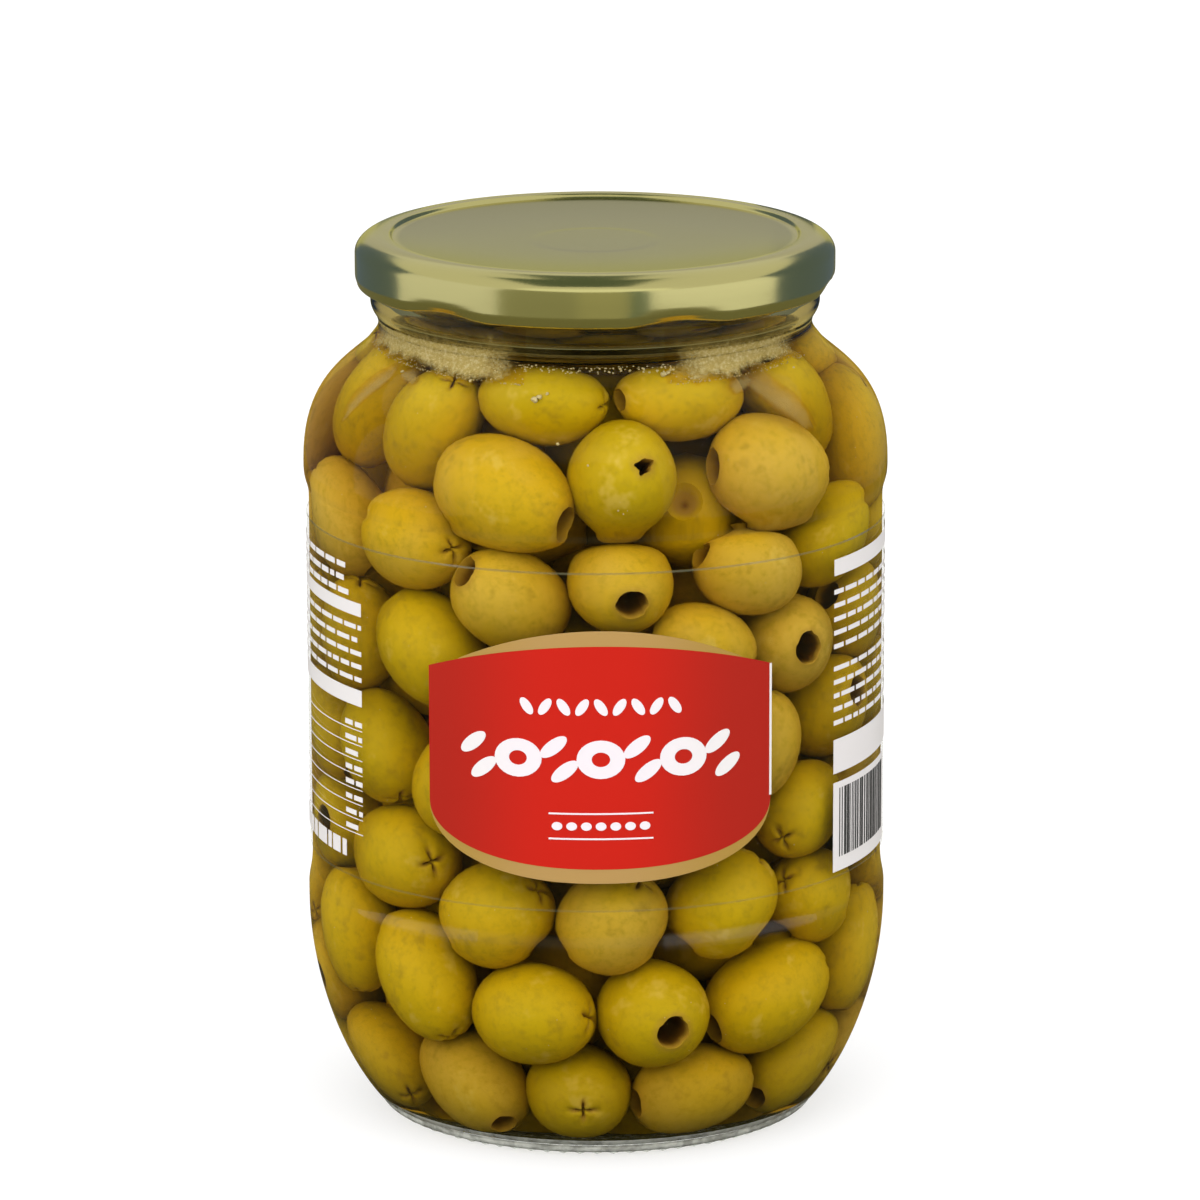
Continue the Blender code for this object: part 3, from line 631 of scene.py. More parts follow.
def floor_card():
    """Pale floor of a light table, which throws less light up into the jar than it shows; in mirrors it
    shows dark, as a painted reflection.
    """
    recipe = Recipe("floor_card")
    mirrored = recipe.ray("Glossy")
    bounced = recipe.after_bounce()
    colour = recipe.blend(recipe.cloud(6.0), (0.95, 0.95, 0.95), (0.93, 0.93, 0.93))
    # Painted reflection: glossy rays see the floor dark, so that the cap's hem and the glass mirror shade
    colour = recipe.blend(mirrored, colour, (0.11, 0.105, 0.055))
    colour = recipe.blend(bounced, colour, (0.18, 0.18, 0.16))
    card = recipe.principled(Base_Color=colour, Roughness=0.9, Specular_IOR_Level=0.0)
    glow = recipe.add("Emission", inputs={"Color": (1.0, 1.0, 1.0), "Strength": 1.0})
    lit = (1.0 - bounced) * (1.0 - mirrored) * 0.6
    return recipe.done(recipe.mix(lit, card, glow))


def board_glow(name, tone):
    recipe = Recipe(name)
    return recipe.done(recipe.add("Emission", inputs={"Color": tone, "Strength": 1.0}))


def finished(name, bm, materials, smooth_angle, replaces=()):
    """Turn a bmesh into a piece that rides on the jar's body."""
    mesh = bpy.data.meshes.new(name)
    bm.to_mesh(mesh)
    bm.free()
    mesh.shade_smooth()
    mesh.set_sharp_from_angle(angle=math.radians(smooth_angle))
    for material in materials if isinstance(materials, list) else [materials]:
        mesh.materials.append(material)
    piece = bpy.data.objects.new(name, mesh)
    bpy.context.scene.collection.objects.link(piece)
    if replaces:
        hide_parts(*replaces)
    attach(piece, "root")
    return piece


def bezier(start, start_handle, end_handle, end, steps):
    """Points of one cubic curve in the (radius, height) plane, both ends included."""
    points = []
    for step in range(steps + 1):
        t = step / steps
        weights = ((1 - t) ** 3, 3 * (1 - t) ** 2 * t, 3 * (1 - t) * t ** 2, t ** 3)
        corners = (start, start_handle, end_handle, end)
        radius = sum(w * corner[0] for w, corner in zip(weights, corners))
        height = sum(w * corner[1] for w, corner in zip(weights, corners))
        points.append((radius, height))
    return points


def arc(centre, radius, first, last, steps):
    """Points of a circular arc in the (radius, height) plane; angles in degrees."""
    points = []
    for step in range(steps + 1):
        angle = math.radians(first + (last - first) * step / steps)
        points.append((centre[0] + radius * math.cos(angle), centre[1] + radius * math.sin(angle)))
    return points


def eased(corners, steps=4):
    """Round the inner corners of an outline; each corner is (radius, height, reach of its curve)."""
    points = [corners[0][:2]]
    for before, corner, after in zip(corners, corners[1:], corners[2:]):
        middle = Vector(corner[:2])
        back = Vector(before[:2]) - middle
        ahead = Vector(after[:2]) - middle
        first = middle + back.normalized() * min(corner[2], back.length * 0.49)
        last = middle + ahead.normalized() * min(corner[2], ahead.length * 0.49)
        for step in range(steps + 1):
            t = step / steps
            points.append(tuple(first * (1 - t) ** 2 + middle * 2 * t * (1 - t) + last * t ** 2))
    points.append(corners[-1][:2])
    return points


def turned(profile, sides, first_azimuth=0.0):
    """Spin an open profile that starts and ends on the axis into a closed body."""
    bm = bmesh.new()
    turn = Matrix.Rotation(math.radians(first_azimuth), 4, "Z")
    ring = [bm.verts.new(turn @ Vector((radius, 0.0, height))) for radius, height in profile]
    edges = [bm.edges.new(pair) for pair in zip(ring, ring[1:])]
    bmesh.ops.spin(bm, geom=ring + edges, axis=(0, 0, 1), cent=(0, 0, 0), angle=2 * math.pi,
                   steps=sides, use_merge=True)
    bmesh.ops.remove_doubles(bm, verts=bm.verts, dist=1e-6)
    bmesh.ops.recalc_face_normals(bm, faces=bm.faces)
    return bm


def glass_outside():
    """Outer profile of the jar, from the middle of the push-up to the top of the lip."""
    points = eased((
        (0.0, PUSH_UP, 0.0),
        (22.0 * MM, PUSH_UP * 0.9, 8.0 * MM),
        (FOOT_INNER_RADIUS, 0.6 * MM, 2.0 * MM),
        (FOOT_INNER_RADIUS + 1.6 * MM, 0.0, 1.0 * MM),
        (FOOT_RADIUS, 0.0, 1.4 * MM),
        (HEEL_RADIUS - 1.0 * MM, 1.2 * MM, 0.9 * MM),
        (HEEL_RADIUS - 1.1 * MM, 2.2 * MM, 0.5 * MM),
        (HEEL_RADIUS, 2.8 * MM, 0.4 * MM),
    ))[:-1]
    points += bezier((HEEL_RADIUS, 2.7 * MM), (47.4 * MM, 10.2 * MM), (LOWER_BEAD_RADIUS, 24.7 * MM),
                     (LOWER_BEAD_RADIUS, LOWER_BEAD_HEIGHT), 22)
    points += eased((
        (LOWER_BEAD_RADIUS, 40.5 * MM, 0.0),
        (LOWER_BEAD_RADIUS, 42.0 * MM, 1.5 * MM),
        (PANEL_RADIUS, PANEL_BOTTOM - 2.0 * MM, 2.5 * MM),
        (PANEL_RADIUS, PANEL_TOP + 1.0 * MM, 1.5 * MM),
        (SHOULDER_RADIUS - 0.1 * MM, PANEL_TOP + 3.4 * MM, 1.5 * MM),
        (SHOULDER_RADIUS, SHOULDER_HEIGHT - 1.0 * MM, 0.0),
    ))
    points += bezier((SHOULDER_RADIUS, SHOULDER_HEIGHT), (SHOULDER_RADIUS, 134.0 * MM),
                     (46.3 * MM, 137.3 * MM), (42.2 * MM, 141.0 * MM), 20)
    points += eased((
        (41.6 * MM, 141.6 * MM, 0.0),
        (NECK_RADIUS, 144.6 * MM, 2.2 * MM),
        (NECK_RADIUS, 146.9 * MM, 1.4 * MM),
        (NECK_BEAD_RADIUS, 149.0 * MM, 1.3 * MM),
        (NECK_BEAD_RADIUS, 151.2 * MM, 0.9 * MM),
        (FINISH_RADIUS, 152.2 * MM, 0.6 * MM),
        (FINISH_RADIUS, LIP_HEIGHT, 1.6 * MM),
        (LIP_RADIUS, LIP_HEIGHT, 0.0),
    ), 8)
    return points


def glass_inside(steps=18):
    """Inner profile of the jar, from the lip down to the middle of the floor."""
    points = eased((
        (LIP_RADIUS, LIP_HEIGHT, 0.0),
        (MOUTH_RADIUS, LIP_HEIGHT, 1.0 * MM),
        (MOUTH_RADIUS, 143.6 * MM, 4.0 * MM),
        (40.0 * MM, 139.2 * MM, 0.0),
    ), 8)[1:]
    points += bezier((40.3 * MM, 138.9 * MM), (44.6 * MM, 135.0 * MM),
                     (SHOULDER_RADIUS - WALL, 132.3 * MM), (SHOULDER_RADIUS - WALL, SHOULDER_HEIGHT), steps)
    points += [
        (PANEL_RADIUS - WALL, PANEL_TOP),
        (PANEL_RADIUS - WALL, PANEL_BOTTOM),
    ]
    points += bezier((LOWER_BEAD_RADIUS - WALL, LOWER_BEAD_HEIGHT), (LOWER_BEAD_RADIUS - WALL, 25.2 * MM),
                     (45.4 * MM, 12.2 * MM), (38.6 * MM, 4.5 * MM), steps)
    points += [
        (36.2 * MM, FLOOR_HEIGHT),
        (18.0 * MM, FLOOR_HEIGHT + 0.75 * FLOOR_CROWN),
        (0.0, FLOOR_HEIGHT + FLOOR_CROWN),
    ]
    return points


def azimuth_of(point):
    return math.degrees(math.atan2(point.x, -point.y))


def knurl_foot(bm):
    """Lift the bearing ring between its ribs, which keep hot glass from sticking to the belt."""
    for vert in bm.verts:
        radius = math.hypot(vert.co.x, vert.co.y)
        if vert.co.z > BEARING_TOP or not BEARING_INNER_RADIUS < radius < BEARING_OUTER_RADIUS:
            continue
        side = round(azimuth_of(vert.co) / 360.0 * JAR_SIDES)
        if side % KNURL_STEPS:
            vert.co.z += KNURL_LIFT * (0.7 + 0.3 * noise.noise(vert.co * KNURL_GRAIN))


def kind_of_glass(face):
    """0 for the outside of the jar, 1 for its wet inside, 2 for its underside, 3 for the foot's side."""
    middle = face.calc_center_median()
    radius = middle.xy.length
    inward = face.normal.x * middle.x + face.normal.y * middle.y < -0.1 * radius
    floor = face.normal.z > 0.5 and FLOOR_LOWEST < middle.z < FLOOR_HIGHEST and radius < FLOOR_REACH
    if middle.z < WET_HEIGHT and (inward or floor):
        return 1
    if face.normal.z < STEEP_DOWN and middle.z < UNDERSIDE_TOP:
        return 2
    if middle.z < FOOT_SIDE_TOP and radius > FLOOR_REACH:
        return 3
    return 0


def make_glass():
    bm = turned(glass_outside() + glass_inside(), JAR_SIDES)
    knurl_foot(bm)
    bm.normal_update()
    for face in bm.faces:
        face.material_index = kind_of_glass(face)
    materials = [flint_glass(), see_through("wetted_glass"), stippled_glass(), knurled_glass()]
    return finished("glass_jar", bm, materials, 60.0, ["jar_glass"])


def make_brine():
    """Liquid up to its level in the neck, with a meniscus where it climbs the glass."""
    inside = [point for point in glass_inside() if point[1] < BRINE_LEVEL - MENISCUS]
    wall = [(radius + BRINE_OVERLAP, height) for radius, height in inside[:-3]]
    floor = [(radius, height - BRINE_OVERLAP) for radius, height in inside[-3:]]
    neck = MOUTH_RADIUS + BRINE_OVERLAP
    surface = [
        (0.0, BRINE_LEVEL),
        (MOUTH_RADIUS - 3.0 * MM, BRINE_LEVEL),
        (MOUTH_RADIUS - 1.2 * MM, BRINE_LEVEL + 0.12 * MENISCUS),
        (MOUTH_RADIUS - 0.4 * MM, BRINE_LEVEL + 0.5 * MENISCUS),
        (MOUTH_RADIUS, BRINE_LEVEL + MENISCUS),
        (neck, BRINE_LEVEL + MENISCUS),
    ]
    bm = turned(surface + wall + floor, BRINE_SIDES)
    bm.normal_update()
    for face in bm.faces:
        if face.normal.z > 0.5 and face.calc_center_median().z > BRINE_LEVEL - 0.1 * MM:
            face.material_index = 1
    against_glass = olive_brine("olive_brine", BRINE_IOR / GLASS_IOR, 0.0, 0.0)
    against_air = olive_brine("brine_level", BRINE_IOR, 0.02, 0.15)
    return finished("brine", bm, [against_glass, against_air], 50.0)


def panel_height(radius):
    """Height of the cap's panel, which is flat in the middle and rises to its rim."""
    rise = DISH_RISE * (radius / CAP_PANEL_RADIUS) ** DISH_POWER
    return CAP_TOP - CAP_RECESS + rise


def cap_profile():
    """Cap shell from the middle of its top, over the rim and curl, back to the middle below."""
    crest = (CAP_RADIUS - CAP_SLOPE, CAP_TOP - CAP_CORNER)
    hem = CAP_RADIUS - CAP_HEM_SLOPE
    curl_middle = (hem - CURL_RADIUS, CAP_BOTTOM + CURL_RADIUS)
    button = panel_height(0.0) + BUTTON_RISE
    points = [(0.0, button), (BUTTON_RADIUS - 1.8 * MM, button), (BUTTON_RADIUS - 0.8 * MM, button)]
    for step in range(25):
        radius = BUTTON_RADIUS + (CAP_PANEL_RADIUS - 0.5 * MM - BUTTON_RADIUS) * step / 24
        points.append((radius, panel_height(radius)))
    points += eased((
        (CAP_PANEL_RADIUS - 0.3 * MM, panel_height(CAP_PANEL_RADIUS - 0.3 * MM), 0.0),
        (CAP_PANEL_RADIUS, panel_height(CAP_PANEL_RADIUS), 0.3 * MM),
        (CAP_PANEL_RADIUS + 0.45 * MM, CAP_TOP - 0.05 * MM, 0.25 * MM),
        (crest[0] - 0.05 * MM, CAP_TOP, 0.0),
    ), 5)
    for step in range(15):
        angle = math.radians(90.0 - 90.0 * step / 14)
        points.append((crest[0] + CAP_SLOPE * math.cos(angle), crest[1] + CAP_CORNER * math.sin(angle)))
    points += eased((
        (CAP_RADIUS, CAP_BOTTOM + CAP_HEM + 2.4 * MM, 0.0),
        (CAP_RADIUS, CAP_BOTTOM + CAP_HEM + 1.7 * MM, 0.3 * MM),
        (CAP_RADIUS, CAP_BOTTOM + CAP_HEM + 0.9 * MM, 0.3 * MM),
        (CAP_RADIUS, CAP_BOTTOM + CAP_HEM, 0.5 * MM),
        (hem, CAP_BOTTOM + CURL_RADIUS, 0.0),
    ))[:-1]
    points += arc(curl_middle, CURL_RADIUS, 0, -230, 12)
    points += [(CAP_RADIUS - CAP_SHEET, CAP_BOTTOM + 2.6 * MM)]
    points += arc((CAP_RADIUS - CAP_CORNER, crest[1]), CAP_CORNER - CAP_SHEET, 0, 90, 6)
    points += [
        (CAP_PANEL_RADIUS + 1.3 * MM, CAP_TOP - CAP_SHEET),
        (CAP_PANEL_RADIUS + 0.2 * MM, panel_height(CAP_PANEL_RADIUS) - CAP_SHEET),
        (DISH_RADIUS, panel_height(DISH_RADIUS) - CAP_SHEET),
        (0.0, panel_height(0.0) - CAP_SHEET),
    ]
    return points


def press_lugs(bm):
    """Push the hem in and up where each lug grips the glass."""
    curl_top = CAP_BOTTOM + CAP_HEM + 2.0 * MM
    spacing = 360.0 / LUG_COUNT
    for vert in bm.verts:
        if vert.co.z > curl_top:
            continue
        offset = (azimuth_of(vert.co) - LUG_AZIMUTH + spacing / 2) % spacing - spacing / 2
        if abs(offset) > LUG_REACH:
            continue
        share = math.cos(math.radians(90.0 * offset / LUG_REACH)) ** 1.5
        depth = 1.0 - (vert.co.z - CAP_BOTTOM) / (curl_top - CAP_BOTTOM)
        vert.co.z += LUG_LIFT * share * depth
        radius = math.hypot(vert.co.x, vert.co.y)
        shrink = 1.0 - LUG_PUSH * share * depth ** 2 / radius
        vert.co.x *= shrink
        vert.co.y *= shrink


def make_cap():
    bm = turned(cap_profile(), CAP_SIDES, LUG_AZIMUTH)
    press_lugs(bm)
    return finished("lug_cap", bm, gold_tin(), 50.0, ["lid"])


def on_panel(along, height, radius=INK_RADIUS):
    """Point of the label: distance along it from the print's middle, and height."""
    azimuth = along / radius + math.radians(PRINT_AZIMUTH)
    return Vector((radius * math.sin(azimuth), -radius * math.cos(azimuth), height))


def thicken(bm, faces, thickness):
    """Give a sheet on the panel its thickness, straight out from the jar's axis."""
    extruded = bmesh.ops.extrude_face_region(bm, geom=faces, use_keep_orig=True)
    for item in extruded["geom"]:
        if isinstance(item, bmesh.types.BMVert):
            radius = math.hypot(item.co.x, item.co.y)
            item.co.x *= 1.0 + thickness / radius
            item.co.y *= 1.0 + thickness / radius


def faces_at(verts):
    return list({face for vert in verts for face in vert.link_faces})


def add_bar(bm, left, right, low, high, radius=INK_RADIUS):
    """Bar of ink, wrapped on the label."""
    columns = max(1, round(abs(right - left) / (2.0 * MM)))
    grid = bmesh.ops.create_grid(bm, x_segments=columns, y_segments=1, size=0.5)
    for vert in grid["verts"]:
        along = left + (right - left) * (vert.co.x + 0.5)
        height = low + (high - low) * (vert.co.y + 0.5)
        vert.co = on_panel(along, height, radius)
    thicken(bm, faces_at(grid["verts"]), INK_THICKNESS)


def add_spot(bm, along, height, half_length, half_width, tilt, hole=0.0):
    """White ellipse on the red field, as a leaf or, with a hole, as an olive."""
    turn = Matrix.Rotation(math.radians(tilt), 2)
    rings = []
    for share in ((1.0, hole) if hole else (1.0,)):
        circle = bmesh.ops.create_circle(bm, cap_ends=not hole, segments=SPOT_SIDES, radius=share)
        for vert in circle["verts"]:
            flat = turn @ Vector((vert.co.x * half_length, vert.co.y * half_width))
            vert.co = on_panel(along + flat.x, height + flat.y, TOP_INK_RADIUS)
        rings.append(circle["verts"])
    if hole:
        edges = list({edge for ring in rings for vert in ring for edge in vert.link_edges})
        faces = bmesh.ops.bridge_loops(bm, edges=edges)["faces"]
    else:
        faces = faces_at(rings[0])
    thicken(bm, faces, INK_THICKNESS)


def field_top(along):
    return FIELD_TOP - FIELD_TOP_DROP * (along / PRINT_HALF_WIDTH) ** 2


def rounded_bottom(along, lowest):
    """Lower edge of a field whose sides turn into a shallow bowl."""
    share = min(abs(along) / PRINT_HALF_WIDTH, 1.0)
    drop = 1.0 - (1.0 - share ** FIELD_ROUNDNESS) ** (1.0 / FIELD_ROUNDNESS)
    return lowest + (FIELD_SHOULDER - lowest) * drop


def band_top(along):
    rise = BAND_TOP - FIELD_TOP
    return field_top(along) + rise * (1.0 - (along / (BAND_HALF_WIDTH + 0.8 * MM)) ** 2)


def printed(name, material, replaces, lower, upper, half_width):
    """One flat field of ink, its columns closer towards the ends."""
    bm = bmesh.new()
    grid = bmesh.ops.create_grid(bm, x_segments=72, y_segments=6, size=1.0)
    for vert in grid["verts"]:
        along = half_width * math.sin(vert.co.x * math.pi / 2)
        share = (vert.co.y + 1.0) / 2
        vert.co = on_panel(along, lower(along) + (upper(along) - lower(along)) * share)
    thicken(bm, list(bm.faces), INK_THICKNESS)
    bmesh.ops.recalc_face_normals(bm, faces=bm.faces)
    return finished(name, bm, material, 40.0, replaces)


def make_film():
    """Clear sleeve all the way round, slightly loose at its edges, with a lapped seam behind."""
    bm = bmesh.new()
    bmesh.ops.create_grid(bm, x_segments=FILM_SIDES, y_segments=FILM_ROWS, size=0.5)
    for vert in bm.verts:
        share = vert.co.x + 0.5
        azimuth = math.pi + (2 * math.pi + math.radians(FILM_LAP)) * share
        height = FILM_BOTTOM + (FILM_TOP - FILM_BOTTOM) * (vert.co.y + 0.5)
        edge = min(height - FILM_BOTTOM, FILM_TOP - height)
        loose = math.exp(-edge / FILM_SLACK_REACH)
        sway = noise.noise(Vector((math.sin(azimuth) * 4, math.cos(azimuth) * 4, height * 60)))
        radius = FILM_RADIUS + FILM_SLACK * loose * sway - FILM_SLACK * (1.0 - share)
        vert.co = Vector((radius * math.sin(azimuth), -radius * math.cos(azimuth), height))
    thicken(bm, list(bm.faces), FILM_THICKNESS)
    bmesh.ops.recalc_face_normals(bm, faces=bm.faces)
    bm.normal_update()
    for face in bm.faces:
        middle = face.calc_center_median()
        if face.normal.x * middle.x + face.normal.y * middle.y < -0.5 * middle.xy.length:
            face.material_index = 1
    materials = [clear_film(), see_through("film_back")]
    return finished("film_sleeve", bm, materials, 60.0, ["label_film"])


def add_words(bm, rng, left, right, low, high):
    """A line of small bars as long as words, which spell nothing."""
    along = left
    while along < right - 1.0 * MM:
        length = rng.uniform(1.6, 5.2) * MM
        end = min(along + length, right)
        add_bar(bm, along, end, low, high)
        along = end + rng.uniform(0.6, 0.9) * MM


def make_motif(white):
    """Leaves, a garland of leaves and olives, dots between two rules, and a line down one edge."""
    bm = bmesh.new()
    for step in range(LEAF_COUNT):
        along = (step - LEAF_COUNT // 2) * LEAF_SPACING
        add_spot(bm, along, LEAF_HEIGHT, 1.75 * MM, 0.85 * MM, 55 if step % 2 else -55)
    for step in range(GARLAND_COUNT):
        along = (step - GARLAND_COUNT // 2) * GARLAND_SPACING
        if step % 2:
            add_spot(bm, along, GARLAND_HEIGHT, 4.3 * MM, 3.5 * MM, 0, 0.38)
        else:
            for aside, up in ((-1.0 * MM, 2.2 * MM), (1.0 * MM, -2.2 * MM)):
                add_spot(bm, along + aside, GARLAND_HEIGHT + up, 2.9 * MM, 1.25 * MM, 38)
    for height in (DOT_HEIGHT + 2.3 * MM, DOT_HEIGHT - 2.3 * MM):
        add_bar(bm, -9.3 * MM, 9.3 * MM, height - 0.15 * MM, height + 0.15 * MM, TOP_INK_RADIUS)
    for step in range(DOT_COUNT):
        along = (step - DOT_COUNT // 2) * DOT_SPACING
        add_spot(bm, along, DOT_HEIGHT, 0.95 * MM, 0.75 * MM, 0)
    edge = PRINT_HALF_WIDTH
    add_bar(bm, edge - 0.25 * MM, edge + 0.2 * MM, FIELD_SHOULDER, 92.5 * MM, TOP_INK_RADIUS)
    bmesh.ops.recalc_face_normals(bm, faces=bm.faces)
    finished("front_motif", bm, white, 40.0)


def make_side_print(white):
    """White panels and lines of short bars to both sides of the red field."""
    rng = np.random.default_rng(PRINT_SEED)
    bm = bmesh.new()
    left, right = LEFT_PRINT
    numbers = right - NUMBER_WIDTH
    for low, high in LEFT_PANELS:
        add_bar(bm, left, right, low * MM, high * MM)
    for low in LEFT_HEAD_LINES:
        add_words(bm, rng, left, right - 4.0 * MM, low * MM, (low + 1.0) * MM)
    for low in LEFT_LINES:
        add_words(bm, rng, left, right, low * MM, low * MM + LINE_HEIGHT)
    for row in range(8):
        low = (77.8 - 2.75 * row) * MM
        add_bar(bm, left, right, low - 0.7 * MM, low - 0.55 * MM)
        add_words(bm, rng, numbers, right, low, low + 0.9 * MM)
    add_words(bm, rng, left, numbers, 53.0 * MM, 56.0 * MM)
    left, right = RIGHT_PRINT
    add_bar(bm, left, right, 105.4 * MM, 108.4 * MM)
    for row in range(10):
        low = (102.0 - 2.5 * row - (1.6 if row > 4 else 0.0)) * MM
        add_words(bm, rng, left, right, low, low + LINE_HEIGHT)
    add_bar(bm, left, right, 68.9 * MM, 75.2 * MM)
    add_bar(bm, left, left + 26.0 * MM, 50.6 * MM, 67.2 * MM)
    bmesh.ops.recalc_face_normals(bm, faces=bm.faces)
    finished("side_print", bm, white, 40.0)

    bm = bmesh.new()
    along = left + 2.0 * MM
    while along < left + 23.5 * MM:
        width = rng.choice(STRIPE_WIDTHS) * MM
        add_bar(bm, along, along + width, 53.2 * MM, 66.0 * MM, TOP_INK_RADIUS)
        along += width + rng.choice(STRIPE_GAPS) * MM
    bmesh.ops.recalc_face_normals(bm, faces=bm.faces)
    black = ink("ink_dark", (0.03, 0.03, 0.03), (0.05, 0.05, 0.05))
    finished("stripe_print", bm, black, 40.0)


def make_label():
    make_film()
    # Each ink's second colour serves for its deeper patches and for its painted shade towards the print's
    # sides
    red = ink("ink_red", (0.52, 0.012, 0.005), (0.36, 0.013, 0.006))
    tan = ink("ink_tan", (0.41, 0.25, 0.085), (0.36, 0.22, 0.04))
    printed("red_field", red, ["label_field"],
            lambda along: rounded_bottom(along, FIELD_BOTTOM), field_top, PRINT_HALF_WIDTH)
    printed("tan_band_top", tan, ["label_band_top"],
            lambda along: field_top(along) + 0.02 * MM, band_top, BAND_HALF_WIDTH)
    printed("tan_band_bottom", tan, ["label_band_bottom"],
            lambda along: rounded_bottom(along, BAND_BOTTOM),
            lambda along: rounded_bottom(along, FIELD_BOTTOM) - 0.02 * MM, PRINT_HALF_WIDTH)
    white = ink("ink_white", (0.78, 0.72, 0.76), (0.76, 0.73, 0.72))
    make_motif(white)
    make_side_print(white)


def inner_wall():
    """Evenly spaced points (radius, height) up the jar's inner wall, for placing the olives."""
    wall = [point for point in reversed(glass_inside(4)) if point[0] >= MOUTH_RADIUS - 1 * MM]
    heights = np.array([point[1] for point in wall])
    radii = np.array([point[0] for point in wall])
    levels = np.arange(FLOOR_HEIGHT, 150 * MM, 1 * MM)
    return np.stack([np.interp(levels, heights, radii), levels], axis=1)


def reach_along(axes, lengths, widths, directions):
    """How far each olive reaches from its middle along a direction."""
    along = np.sum(axes * directions, axis=-1) ** 2
    return 1.0 / np.sqrt(along / (lengths / 2) ** 2 + (1.0 - along) / (widths / 2) ** 2)


def frames_at(azimuths):
    """Sideways and outward unit vectors at each azimuth, measured from the front towards +X."""
    sideways = np.stack([np.cos(azimuths), np.sin(azimuths), np.zeros_like(azimuths)], axis=-1)
    outward = np.stack([np.sin(azimuths), -np.cos(azimuths), np.zeros_like(azimuths)], axis=-1)
    return sideways, outward


def olive_axes(azimuths, tilts, leans):
    sideways, outward = frames_at(azimuths)
    level = np.cos(tilts)[:, None] * sideways
    level[:, 2] += np.sin(tilts)
    return np.cos(leans)[:, None] * level + np.sin(leans)[:, None] * outward


def lay_olives():
    """Rows of (azimuth, height, tilt, lean, length, width, pit) in radians and metres."""
    rng = np.random.default_rng(HEAP_SEED)
    rows = []
    for azimuth, height, tilt, lean, length, width, pit in FRONT_OLIVES:
        rows.append((math.radians(azimuth), height * MM, math.radians(tilt), math.radians(lean),
                     length * MM, width * MM, float(pit)))
    laid = len(rows)
    for number, (height, count) in enumerate(SIDE_ROWS):
        for step in range(count):
            azimuth = 2 * math.pi * (step + 0.5 * (number % 2)) / count + rng.uniform(-0.08, 0.08)
            azimuth = (azimuth + math.pi) % (2 * math.pi) - math.pi
            up = height * MM + rng.uniform(-1.5, 1.5) * MM
            tilt = rng.uniform(-math.pi, math.pi)
            lean = rng.uniform(0.0, 0.5) if rng.random() < 0.7 else rng.uniform(0.9, 1.4)
            length = OLIVE_LENGTH * rng.uniform(0.92, 1.12)
            width = OLIVE_WIDTH * rng.uniform(0.93, 1.05)
            spacings = [math.hypot((row[0] - azimuth) * OLIVE_TRACK_RADIUS, row[1] - up)
                        for row in rows[:laid]]
            if min(spacings) >= 0.8 * OLIVE_WIDTH:
                rows.append((azimuth, up, tilt, lean, length, width, float(lean > 0.9)))
    return np.array(rows), laid


def wall_gap(wall, radii, heights, outward, axes, lengths, widths):
    """Free distance between each olive and the glass, and how level the glass faces there."""
    across = wall[None, :, 0] - radii[:, None]
    up = wall[None, :, 1] - heights[:, None]
    distance = np.hypot(across, up)
    direction = across[:, :, None] * outward[:, None, :]
    direction[:, :, 2] += up
    direction /= distance[:, :, None]
    reach = reach_along(axes[:, None, :], lengths[:, None], widths[:, None], direction)
    gap = distance - reach
    nearest = np.argmin(gap, axis=1)
    picked = np.arange(len(radii))
    return gap[picked, nearest], across[picked, nearest] / distance[picked, nearest]


def settle_olives():
    """Push the laid olives apart along the glass until they only touch; each stays at the wall."""
    rows, laid = lay_olives()
    azimuths, heights, tilts, leans, lengths, widths, pits = rows.T
    wall = inner_wall()
    count = len(rows)
    radii = np.full(count, CORE_RADIUS)
    freedom = np.where(np.arange(count) < laid, HAND_LAID_FREEDOM, 1.0)
    upright = np.tile(np.array((0.0, 0.0, 1.0)), (count, 1))
    for _ in range(SETTLE_STEPS):
        axes = olive_axes(azimuths, tilts, leans)
        sideways, outward = frames_at(azimuths)
        gap, level = wall_gap(wall, radii, heights, outward, axes, lengths, widths)
        radii = radii + WALL_STRIDE * (gap - WALL_CLEARANCE) / np.maximum(level, STEEPEST_WALL)
        centres = radii[:, None] * outward
        centres[:, 2] = heights
        apart = centres[None, :, :] - centres[:, None, :]
        distance = np.linalg.norm(apart, axis=2) + np.eye(count)
        direction = apart / distance[:, :, None]
        mine = reach_along(axes[:, None, :], lengths[:, None], widths[:, None], direction)
        theirs = reach_along(axes[None, :, :], lengths[None, :], widths[None, :], direction)
        overlap = np.clip(mine + theirs - distance, 0.0, None) * (1.0 - np.eye(count))
        share = freedom[:, None] / (freedom[:, None] + freedom[None, :])
        push = -PUSH_STRIDE * np.sum(direction * (overlap * share)[:, :, None], axis=1)
        azimuths = azimuths + np.sum(push * sideways, axis=1) / np.maximum(radii, 20 * MM)
        half_height = reach_along(axes, lengths, widths, upright) + WALL_CLEARANCE
        heights = np.clip(heights + push[:, 2], FLOOR_HEIGHT + half_height, HEAP_TOP - half_height)
    for _ in range(WALL_STEPS):
        gap, level = wall_gap(wall, radii, heights, outward, axes, lengths, widths)
        radii = radii + WALL_STRIDE * (gap - WALL_CLEARANCE) / np.maximum(level, STEEPEST_WALL)
        centres = radii[:, None] * outward
        centres[:, 2] = heights
    return centres, axes, lengths, widths, pits


